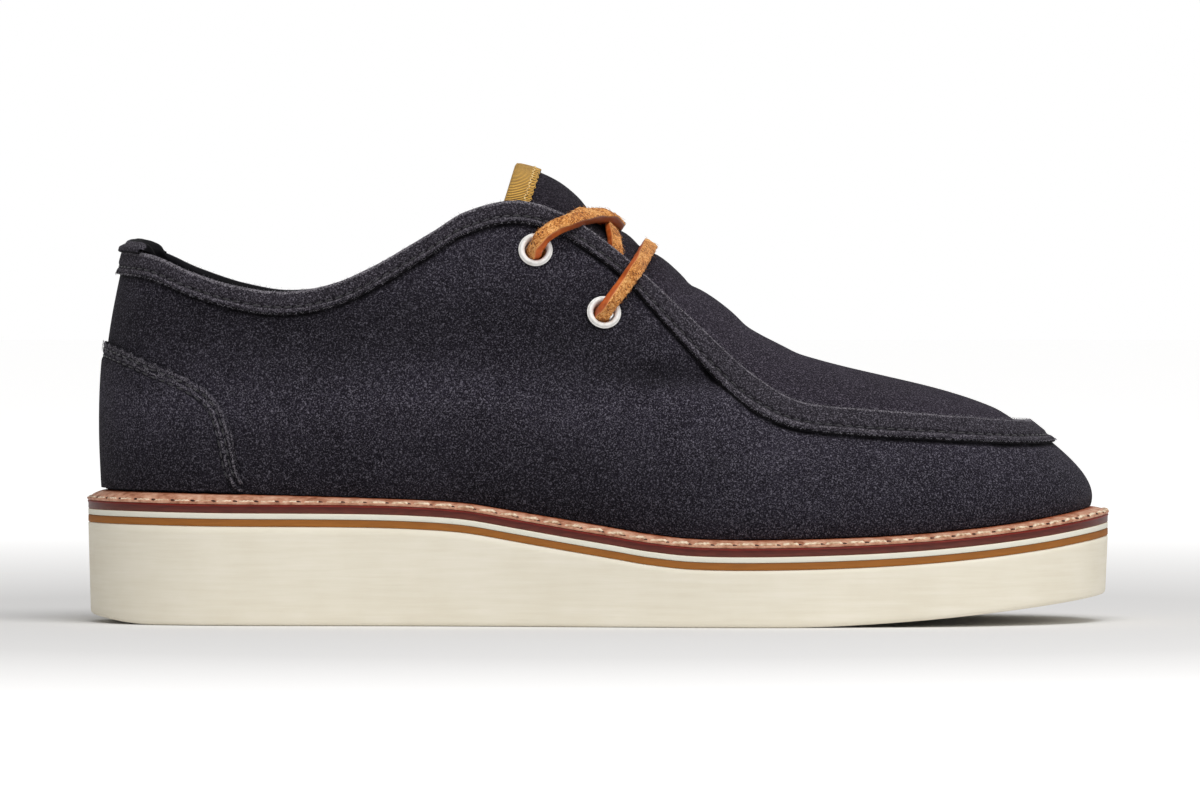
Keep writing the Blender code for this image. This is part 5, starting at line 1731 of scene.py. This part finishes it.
def welt_sheet(u, v):
    """Round the strip: under, inner edge, top with the thread's channel, outer edge."""
    turn = TURN * u
    row = round(v * WELT_ROWS) % WELT_ROWS
    bottom = welt_height(turn) - welt_depth(turn) + WELT_CEMENT
    if row == 0:
        return ring(turn, -WELT_INNER, bottom)
    if row < len(WELT_OUTS):
        out = WELT_OUTS[row]
        point = welt_top(turn, out)
        through = at_hole(float(np.interp(turn, welt_turns, welt_lengths)), WELT_PITCH)
        channel = math.exp(-((out - WELT_THREAD_OUT) / WELT_CHANNEL) ** 2)
        sunk = channel * (WELT_CHANNEL_DEPTH + WELT_HOLE_DEPTH * through ** 3)
        return point + Vector((0, 0, 0.00008 * noise.noise(point * 350) - sunk))
    if row < len(WELT_OUTS) + len(WELT_EDGE_DROPS):
        share = WELT_EDGE_DROPS[row - len(WELT_OUTS)]
        out = WELT_OVERHANG + 0.0002 * math.sin(math.pi * min(share + 0.2, 1.0))
        return ring(turn, out, (bottom + WELT_EDGE) * (1 - share) + bottom * share)
    return ring(turn, WELT_OVERHANG - 0.0003, bottom)


WELT_ROWS = len(WELT_OUTS) + len(WELT_EDGE_DROPS) + 1
welt = shaped_grid("leather_welt", WELT_COLUMNS, WELT_ROWS, welt_sheet)

# Vegetable-tanned belly leather, natural and waxed: peach with paler rubs, brown orange where the
# wax gathers against the upper.
tanned = new_material("natural_vegetable_tanned_leather", Roughness=0.55)
tanned_place = add_node(tanned, "TexCoord").outputs["Object"]
tanned_rubs = add_node(tanned, "TexNoise", values={"Scale": 1 / 0.0035, "Detail": 4.0,
                                                   "Roughness": 0.65},
                       links={"Vector": tanned_place})
tanned_colour = add_node(tanned, "ValToRGB", links={"Fac": tanned_rubs},
                         stops=[(0.32, "#8E5438"), (0.48, "#C2896C"), (0.66, "#DDB094")])
tanned_map = add_node(tanned, "UVMap").outputs["UV"]
tanned_across = add_node(tanned, "SeparateXYZ", links={"Vector": tanned_map}).outputs["Y"]
wax_line = add_node(tanned, "ValToRGB", links={"Fac": tanned_across},
                    stops=[(6.0 / WELT_ROWS, 0.9), (9.5 / WELT_ROWS, 0.0)])
waxed = add_node(tanned, "Mix", settings=COLOUR_MIX, values={"B": linear("#A4502E")},
                 links={"Factor": wax_line, "A": tanned_colour})
link(tanned, waxed, "Base Color")
tanned_grain = add_node(tanned, "TexNoise", values={"Scale": 1 / 0.0005, "Detail": 3.0},
                        links={"Vector": tanned_place})
tanned_bump = add_node(tanned, "Bump", values={"Strength": 0.35, "Distance": 0.0002},
                       links={"Height": tanned_grain})
link(tanned, tanned_bump, "Normal")
welt.data.materials.append(tanned)
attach(welt, "root")
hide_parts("welt")


def welt_normal(turn):
    """Unit normal of the welt's sloping top at the thread."""
    plan = outward(FEATHER, turn)
    return Vector((0.45 * plan.x, 0.45 * plan.y, 1.0)).normalized()


# One stitch of three-ply thread: its plies wind round it, and its ends dive into the slots.
WELT_SUNK = 0.00042        # how much deeper the thread lies round the heel
WELT_BITE = 0.0006         # how much shorter a stitch is than the pitch
PLIES = 3
TWISTS = 1.6
bpy.ops.object.select_all(action="DESELECT")
bpy.ops.mesh.primitive_grid_add(x_subdivisions=22, y_subdivisions=12, size=2)
welt_stitch = bpy.context.object
for vertex in welt_stitch.data.vertices:
    along, angle = vertex.co.x, math.pi * vertex.co.y
    lobe = 0.84 + 0.16 * math.cos(PLIES * (angle - math.pi * TWISTS * along))
    radius = 0.5 * WELT_THREAD * lobe * (1 - 0.35 * along ** 8)
    vertex.co = (0.5 * (WELT_PITCH - WELT_BITE) * along, radius * math.cos(angle),
                 radius * 0.9 * math.sin(angle) - 0.0011 * along ** 6 + 0.0001)
mend()
welt_spaces = spaced(welt_turns, welt_lengths, WELT_PITCH)
welt_places = []
for turn in welt_spaces:
    along = direction(welt_thread_place, turn)
    normal = welt_normal(turn)
    slant = normal.cross(along) * 0.07
    point = welt_thread_place(turn)
    sunk = 0.0001 + WELT_SUNK * (1 - soft_step(point.x, -0.085, -0.045))
    welt_places.append((point - normal * sunk, along + slant, normal))

# Waxed cotton thread, undyed: cream plies, browned by wax in their grooves.
waxed_cotton = mottled("waxed_cotton_thread", 0.0016, 3.0, [(0.36, "#B98F6C"), (0.60, "#F0DCC0")],
                       relief=(0.0003, 2.0, 0.5, 0.0001), Roughness=0.6, Sheen_Weight=0.2)
welt_stitches = repeated("welt_stitches", welt_stitch, welt_places, waxed_cotton)
bpy.data.objects.remove(welt_stitch, do_unlink=True)
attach(welt_stitches, "root")
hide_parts("welt")

# The awl slots between the stitches, slanted across the thread's line; their dark inside is painted
# shade.
SLOT_SIZE = (0.0013, 0.0010, 0.0005)
SLOT_SLANT = 0.0007
SLOT_SUNK = 0.0002
bpy.ops.object.select_all(action="DESELECT")
bpy.ops.mesh.primitive_uv_sphere_add(segments=10, ring_count=6, radius=0.5)
slot = bpy.context.object
for vertex in slot.data.vertices:
    vertex.co = (vertex.co.x * SLOT_SIZE[0] - vertex.co.y * SLOT_SLANT,
                 vertex.co.y * SLOT_SIZE[1], vertex.co.z * SLOT_SIZE[2])
slot_places = []
for space in welt_spaces:
    turn = space - 0.5 * WELT_PITCH * TURN / welt_lengths[-1]
    normal = welt_normal(turn)
    slot_places.append((welt_thread_place(turn) - normal * SLOT_SUNK,
                        direction(welt_thread_place, turn), normal))
slot_shade = mottled("awl_slots_painted_shade", 0.0010, 2.0, [(0.4, "#2E150C"), (0.62, "#5C3320")],
                  Roughness=0.8)
welt_slots = repeated("welt_awl_slots", slot, slot_places, slot_shade)
bpy.data.objects.remove(slot, do_unlink=True)
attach(welt_slots, "root")
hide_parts("welt")


# ================================ midsoles
# Three sheets are cemented under the welt and trimmed flush: burnished red-brown leather, white
# foam and tan foam. Their edges are ground smooth, and the leather's top edge is run with a hot
# wheel.
LAYER_SETBACK = 0.0002     # how far the layers are trimmed inside the welt's edge
CEMENT = 0.00004           # thickness of the cement between two layers
LEATHER_LAYER = 0.0025
WHITE_LAYER = 0.0017
TAN_LAYER = 0.0021


def leather_depth(turn):
    """Depth of the leather layer's underside below the welt's top; the next two are the foams'."""
    return welt_depth(turn) + LEATHER_LAYER


def white_depth(turn):
    return leather_depth(turn) + WHITE_LAYER


def tan_depth(turn):
    return white_depth(turn) + TAN_LAYER


def layer_edge(turn, out, drop):
    """Point of a layer's edge, a distance outside the feather line and below the welt's top."""
    return ring(turn, out, welt_height(turn) - drop)


# Rows of a layer: share of the way to the middle, setback from the edge, share of its thickness.
LAYER_ROWS = [(1.0, 0.0002, 0.0), (0.5, 0.0002, 0.0), (0.0, 0.0002, 0.0), (0.0, 0.00005, 0.04),
              (0.0, 0.0, 0.16), (0.0, 0.0, 0.30), (0.0, 0.0, 0.5), (0.0, 0.0, 0.7),
              (0.0, 0.0, 0.86), (0.0, 0.00005, 0.96), (0.0, 0.0002, 1.0), (0.5, 0.0002, 1.0),
              (1.0, 0.0002, 1.0)]
LAYER_SPANS = len(LAYER_ROWS) - 1


def sole_layer(name, top_drop, bottom_drop, material, proud=lambda down: 0.0):
    """A sheet of the sole; proud(share of thickness) stands out from the trimmed edge."""
    def sheet(u, v):
        share, setback, down = LAYER_ROWS[round(v * LAYER_SPANS)]

        def edge_point(turn):
            top, bottom = top_drop(turn), bottom_drop(turn) - CEMENT
            out = WELT_OVERHANG - LAYER_SETBACK - setback + proud(down)
            return layer_edge(turn, out, top + (bottom - top) * down)
        return spanned(TURN * u, share, edge_point)

    return shaped_grid(name, SOLE_COLUMNS, LAYER_SPANS, sheet, material)


def ground_edge(name, tones, roughness, streak, streak_share):
    """Tones down a layer's edge by its own map, streaked along the sole as grinding leaves it."""
    made = new_material(name, Roughness=roughness, Specular_IOR_Level=0.3)
    own = add_node(made, "UVMap").outputs["UV"]
    down = add_node(made, "SeparateXYZ", links={"Vector": own}).outputs["Y"]
    place = add_node(made, "TexCoord").outputs["Object"]
    ground_lines = add_node(made, "Mapping", values={"Scale": (1.0, 1.0, 9.0)},
                            links={"Vector": place})
    lines = add_node(made, "TexNoise", values={"Scale": 1 / streak, "Detail": 4.0,
                                               "Roughness": 0.6}, links={"Vector": ground_lines})
    bands = add_node(made, "ValToRGB", links={"Fac": down}, stops=tones)
    shade = add_node(made, "ValToRGB", links={"Fac": lines},
                     stops=[(0.35, 1 - streak_share), (0.65, 1 + streak_share)])
    colour = add_node(made, "Mix", settings=MULTIPLIED, values={"Factor": 1.0},
                      links={"A": bands, "B": shade})
    link(made, colour, "Base Color")
    relief = add_node(made, "Bump", values={"Strength": 0.2, "Distance": 0.0002},
                      links={"Height": lines})
    link(made, relief, "Normal")
    return made


# Burnished and waxed leather edge: a bright red wheel line at the top, partly a painted highlight
# where the rounded top corner catches light, painted shade under it, red brown below.
burnished = ground_edge(
    "burnished_leather_edge",
    [(0.18, "#4A120B"), (0.25, "#8A2114"), (0.33, "#741C12"), (0.42, "#571C14"),
     (0.56, "#5E2A20"), (0.80, "#69352A")], 0.42, 0.0040, 0.22)
leather_sheet = sole_layer("burnished_leather_midsole", welt_depth, leather_depth, burnished,
                           lambda down: 0.00025 * math.exp(-((down - 0.14) / 0.10) ** 2))
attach(leather_sheet, "root")
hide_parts("midsole_leather")

# White EVA foam, ground: matt, a little grey, with a line of peach cement along both edges.
white_foam = ground_edge(
    "white_eva_foam",
    [(0.18, "#E6C9A0"), (0.30, "#EFEBDC"), (0.50, "#E6E4D6"), (0.76, "#E2DFD0"),
     (0.84, "#C4A47C")], 0.75, 0.0060, 0.03)
white_sheet = sole_layer("white_foam_midsole", leather_depth, white_depth, white_foam)
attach(white_sheet, "root")
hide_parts("midsole_white")

# Tan EVA foam, ground: an even caramel brown, darker at its top.
tan_foam = ground_edge(
    "tan_eva_foam",
    [(0.18, "#7A4A1A"), (0.34, "#965C24"), (0.55, "#9C6229"), (0.84, "#A06320")],
    0.75, 0.0060, 0.08)
tan_sheet = sole_layer("tan_foam_midsole", white_depth, tan_depth, tan_foam)
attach(tan_sheet, "root")
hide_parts("midsole_tan")


# ================================ outsole
# The wedge is one block of cream crepe-like rubber, sanded along its sides and rolled up at the
# toe. Its underside is moulded with shallow waves across the foot for grip.
TOE_SPRING = 0.0080
HEEL_BEVEL = 0.0022        # how far the heel's back is lifted off the floor
SOLE_TAPER = 0.0009
EDGE_BEVEL = 0.0012
TOE_ROLL = 0.68
HEEL_ROLL = 0.06
TREAD_PITCH = 0.0060
TREAD_DEPTH = 0.0007
TOP_SETBACK = 0.0003       # width and height of the small step at the block's upper edge
OUTSOLE_COLUMNS = 480
SIDE_ROWS = 14


def ground(x):
    """Underside of the outsole: flat, rising at the toe and a little at the back of the heel."""
    toe = max(x - at(TOE_ROLL), 0.0) / (at(1.0) - at(TOE_ROLL))
    heel = max(at(HEEL_ROLL) - x, 0.0) / (at(HEEL_ROLL) - at(0.0))
    return TOE_SPRING * toe ** 1.6 + HEEL_BEVEL * heel ** 1.5


# Rows of the outsole: share of the way to the middle, and place down its side or round its edge.
OUTSOLE_ROWS = ([(1.0, "top", 0.0), (0.5, "top", 0.0), (0.0, "top", 0.0)]
                + [(0.0, "side", i / SIDE_ROWS) for i in range(SIDE_ROWS + 1)]
                + [(0.0, "bevel", 0.3), (0.0, "bevel", 0.7), (0.0, "bevel", 1.0)]
                + [(share, "bevel", 1.0) for share in (0.12, 0.3, 0.5, 0.7, 0.85, 1.0)])


def outsole_sheet(u, v):
    """From the middle of the block's top out and down its side, round its edge and under."""
    share, zone, part = OUTSOLE_ROWS[round(v * (len(OUTSOLE_ROWS) - 1))]

    def edge_point(turn):
        out = WELT_OVERHANG - LAYER_SETBACK
        if zone == "top":
            return layer_edge(turn, out - TOP_SETBACK, tan_depth(turn))
        low = ground(ring(turn, WELT_OVERHANG, 0.0).x)
        if zone == "side":
            top = layer_edge(turn, out, tan_depth(turn)).z - TOP_SETBACK
            return ring(turn, out - (SOLE_TAPER - LAYER_SETBACK) * part,
                        top * (1 - part) + (low + EDGE_BEVEL) * part)
        angle = 0.5 * math.pi * part
        return ring(turn, WELT_OVERHANG - SOLE_TAPER - EDGE_BEVEL * (1 - math.cos(angle)),
                    low + EDGE_BEVEL * (1 - math.sin(angle)))

    return spanned(TURN * u, share, edge_point)


outsole = shaped_grid("cream_rubber_outsole", OUTSOLE_COLUMNS, len(OUTSOLE_ROWS) - 1,
                      outsole_sheet)

# Cream rubber crumb, moulded and sanded: matt, faint level lines along the side, and a shallow wave
# tread below, which is drawn as relief.
cream_rubber = new_material("cream_moulded_rubber", Roughness=0.8, Specular_IOR_Level=0.3)
cream_place = add_node(cream_rubber, "TexCoord").outputs["Object"]
cream_level = add_node(cream_rubber, "Mapping", values={"Scale": (0.06, 0.06, 1.0)},
                       links={"Vector": cream_place})
sanding = add_node(cream_rubber, "TexNoise", values={"Scale": 1 / 0.0012, "Detail": 4.0,
                                                     "Roughness": 0.6},
                   links={"Vector": cream_level})
cloud = add_node(cream_rubber, "TexNoise", values={"Scale": 1 / 0.012, "Detail": 3.0},
                 links={"Vector": cream_place})
cream_mix = add_node(cream_rubber, "Mix", values={"Factor": 0.45}, links={"A": sanding, "B": cloud})
cream_colour = add_node(cream_rubber, "ValToRGB", links={"Fac": cream_mix},
                        stops=[(0.35, "#E9E1CE"), (0.50, "#EDE6D4"), (0.65, "#F1EADA")])
link(cream_rubber, cream_colour, "Base Color")
cream_fine = add_node(cream_rubber, "Bump", values={"Strength": 0.22, "Distance": 0.0002},
                      links={"Height": sanding})
tread = add_node(cream_rubber, "TexWave", settings={"wave_type": "BANDS", "bands_direction": "X"},
                 values={"Scale": 2 * math.pi / 20 / TREAD_PITCH, "Distortion": 1.6,
                         "Detail": 0.0, "Detail Scale": 0.35}, links={"Vector": cream_place})
cream_facing = add_node(cream_rubber, "NewGeometry")
cream_down = add_node(cream_rubber, "SeparateXYZ",
                      links={"Vector": cream_facing.outputs["True Normal"]})
underside = add_node(cream_rubber, "MapRange",
                     values={"From Min": -0.75, "From Max": -0.95, "To Min": 0.0, "To Max": 0.8},
                     links={"Value": cream_down.outputs["Z"]})
tread_bump = add_node(cream_rubber, "Bump", values={"Distance": TREAD_DEPTH},
                      links={"Height": tread.outputs["Fac"], "Strength": underside,
                             "Normal": cream_fine})
link(cream_rubber, tread_bump, "Normal")
outsole.data.materials.append(cream_rubber)
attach(outsole, "root")
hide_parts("outsole")


# ================================ floor, light and camera
# The shoe stands on a matt white floor under two large softboxes, in an evenly white studio.
floor_material = new_material("white_studio_floor", Roughness=0.85, Specular_IOR_Level=0.1,
                              Emission_Color=linear("#FFFFFF"))
floor_place = add_node(floor_material, "TexCoord").outputs["Object"]
floor_radius = add_node(floor_material, "VectorMath", settings={"operation": "LENGTH"},
                        links={0: floor_place})
floor_tone = add_node(floor_material, "ValToRGB", links={"Fac": floor_radius},
                      stops=[(0.2, "#E4E3E2"), (0.9, "#F6F5F4")])
link(floor_material, floor_tone, "Base Color")
floor_glow = add_node(floor_material, "MapRange",
                      values={"From Min": 0.25, "From Max": 1.0, "To Min": 0.0, "To Max": 0.6},
                      links={"Value": floor_radius})
link(floor_material, floor_glow, "Emission Strength")
bpy.ops.object.select_all(action="DESELECT")
bpy.ops.mesh.primitive_circle_add(vertices=96, radius=7.0, fill_type="NGON", location=(0, 0, 0))
floor = bpy.context.object
floor.name = "studio_floor"
floor.data.materials.append(floor_material)

# The air is seen as white, and lights the shoe less strongly than it looks.
AIR_LIGHT = 0.42
world = bpy.data.worlds.new("studio_air")
world.use_nodes = True
air = world.node_tree.nodes["Background"]
air.inputs["Color"].default_value = linear("#FFFFFF")
seen = world.node_tree.nodes.new("ShaderNodeLightPath")
air_level = world.node_tree.nodes.new("ShaderNodeMapRange")
air_level.inputs["To Min"].default_value = AIR_LIGHT
air_level.inputs["To Max"].default_value = 1.0
world.node_tree.links.new(seen.outputs["Is Camera Ray"], air_level.inputs["Value"])
world.node_tree.links.new(air_level.outputs["Result"], air.inputs["Strength"])
bpy.context.scene.world = world
bpy.context.scene.view_settings.view_transform = "Standard"


def softbox(name, place, aim, width, height, watts):
    """A rectangular lamp at a place, turned towards its aim."""
    lamp = bpy.data.lights.new(name, "AREA")
    lamp.shape = "RECTANGLE"
    lamp.size = width
    lamp.size_y = height
    lamp.energy = watts
    holder = bpy.data.objects.new(name, lamp)
    bpy.context.scene.collection.objects.link(holder)
    holder.location = place
    holder.rotation_euler = (Vector(aim) - Vector(place)).to_track_quat("-Z", "Y").to_euler()


softbox("overhead_softbox", (0.25, -0.55, 1.35), (0, 0, 0.05), 1.0, 0.8, 13)
softbox("front_softbox", (0.8, -1.3, 0.6), (0, 0, 0.06), 0.8, 0.8, 4)

# The camera looks at the shoe's lateral side from three metres away, nearly level.
CAMERA_AIM = Vector((0.0, 0.0, 0.064))
CAMERA_ELEVATION = math.radians(1.0)
CAMERA_DISTANCE = 3.0
camera_data = bpy.data.cameras.new("long_lens")
camera_data.lens = 311
camera_data.sensor_width = 36
camera = bpy.data.objects.new("camera", camera_data)
bpy.context.scene.collection.objects.link(camera)
away = Vector((0, -math.cos(CAMERA_ELEVATION), math.sin(CAMERA_ELEVATION)))
camera.location = CAMERA_AIM + away * CAMERA_DISTANCE
camera.rotation_euler = (-away).to_track_quat("-Z", "Y").to_euler()
bpy.context.scene.camera = camera
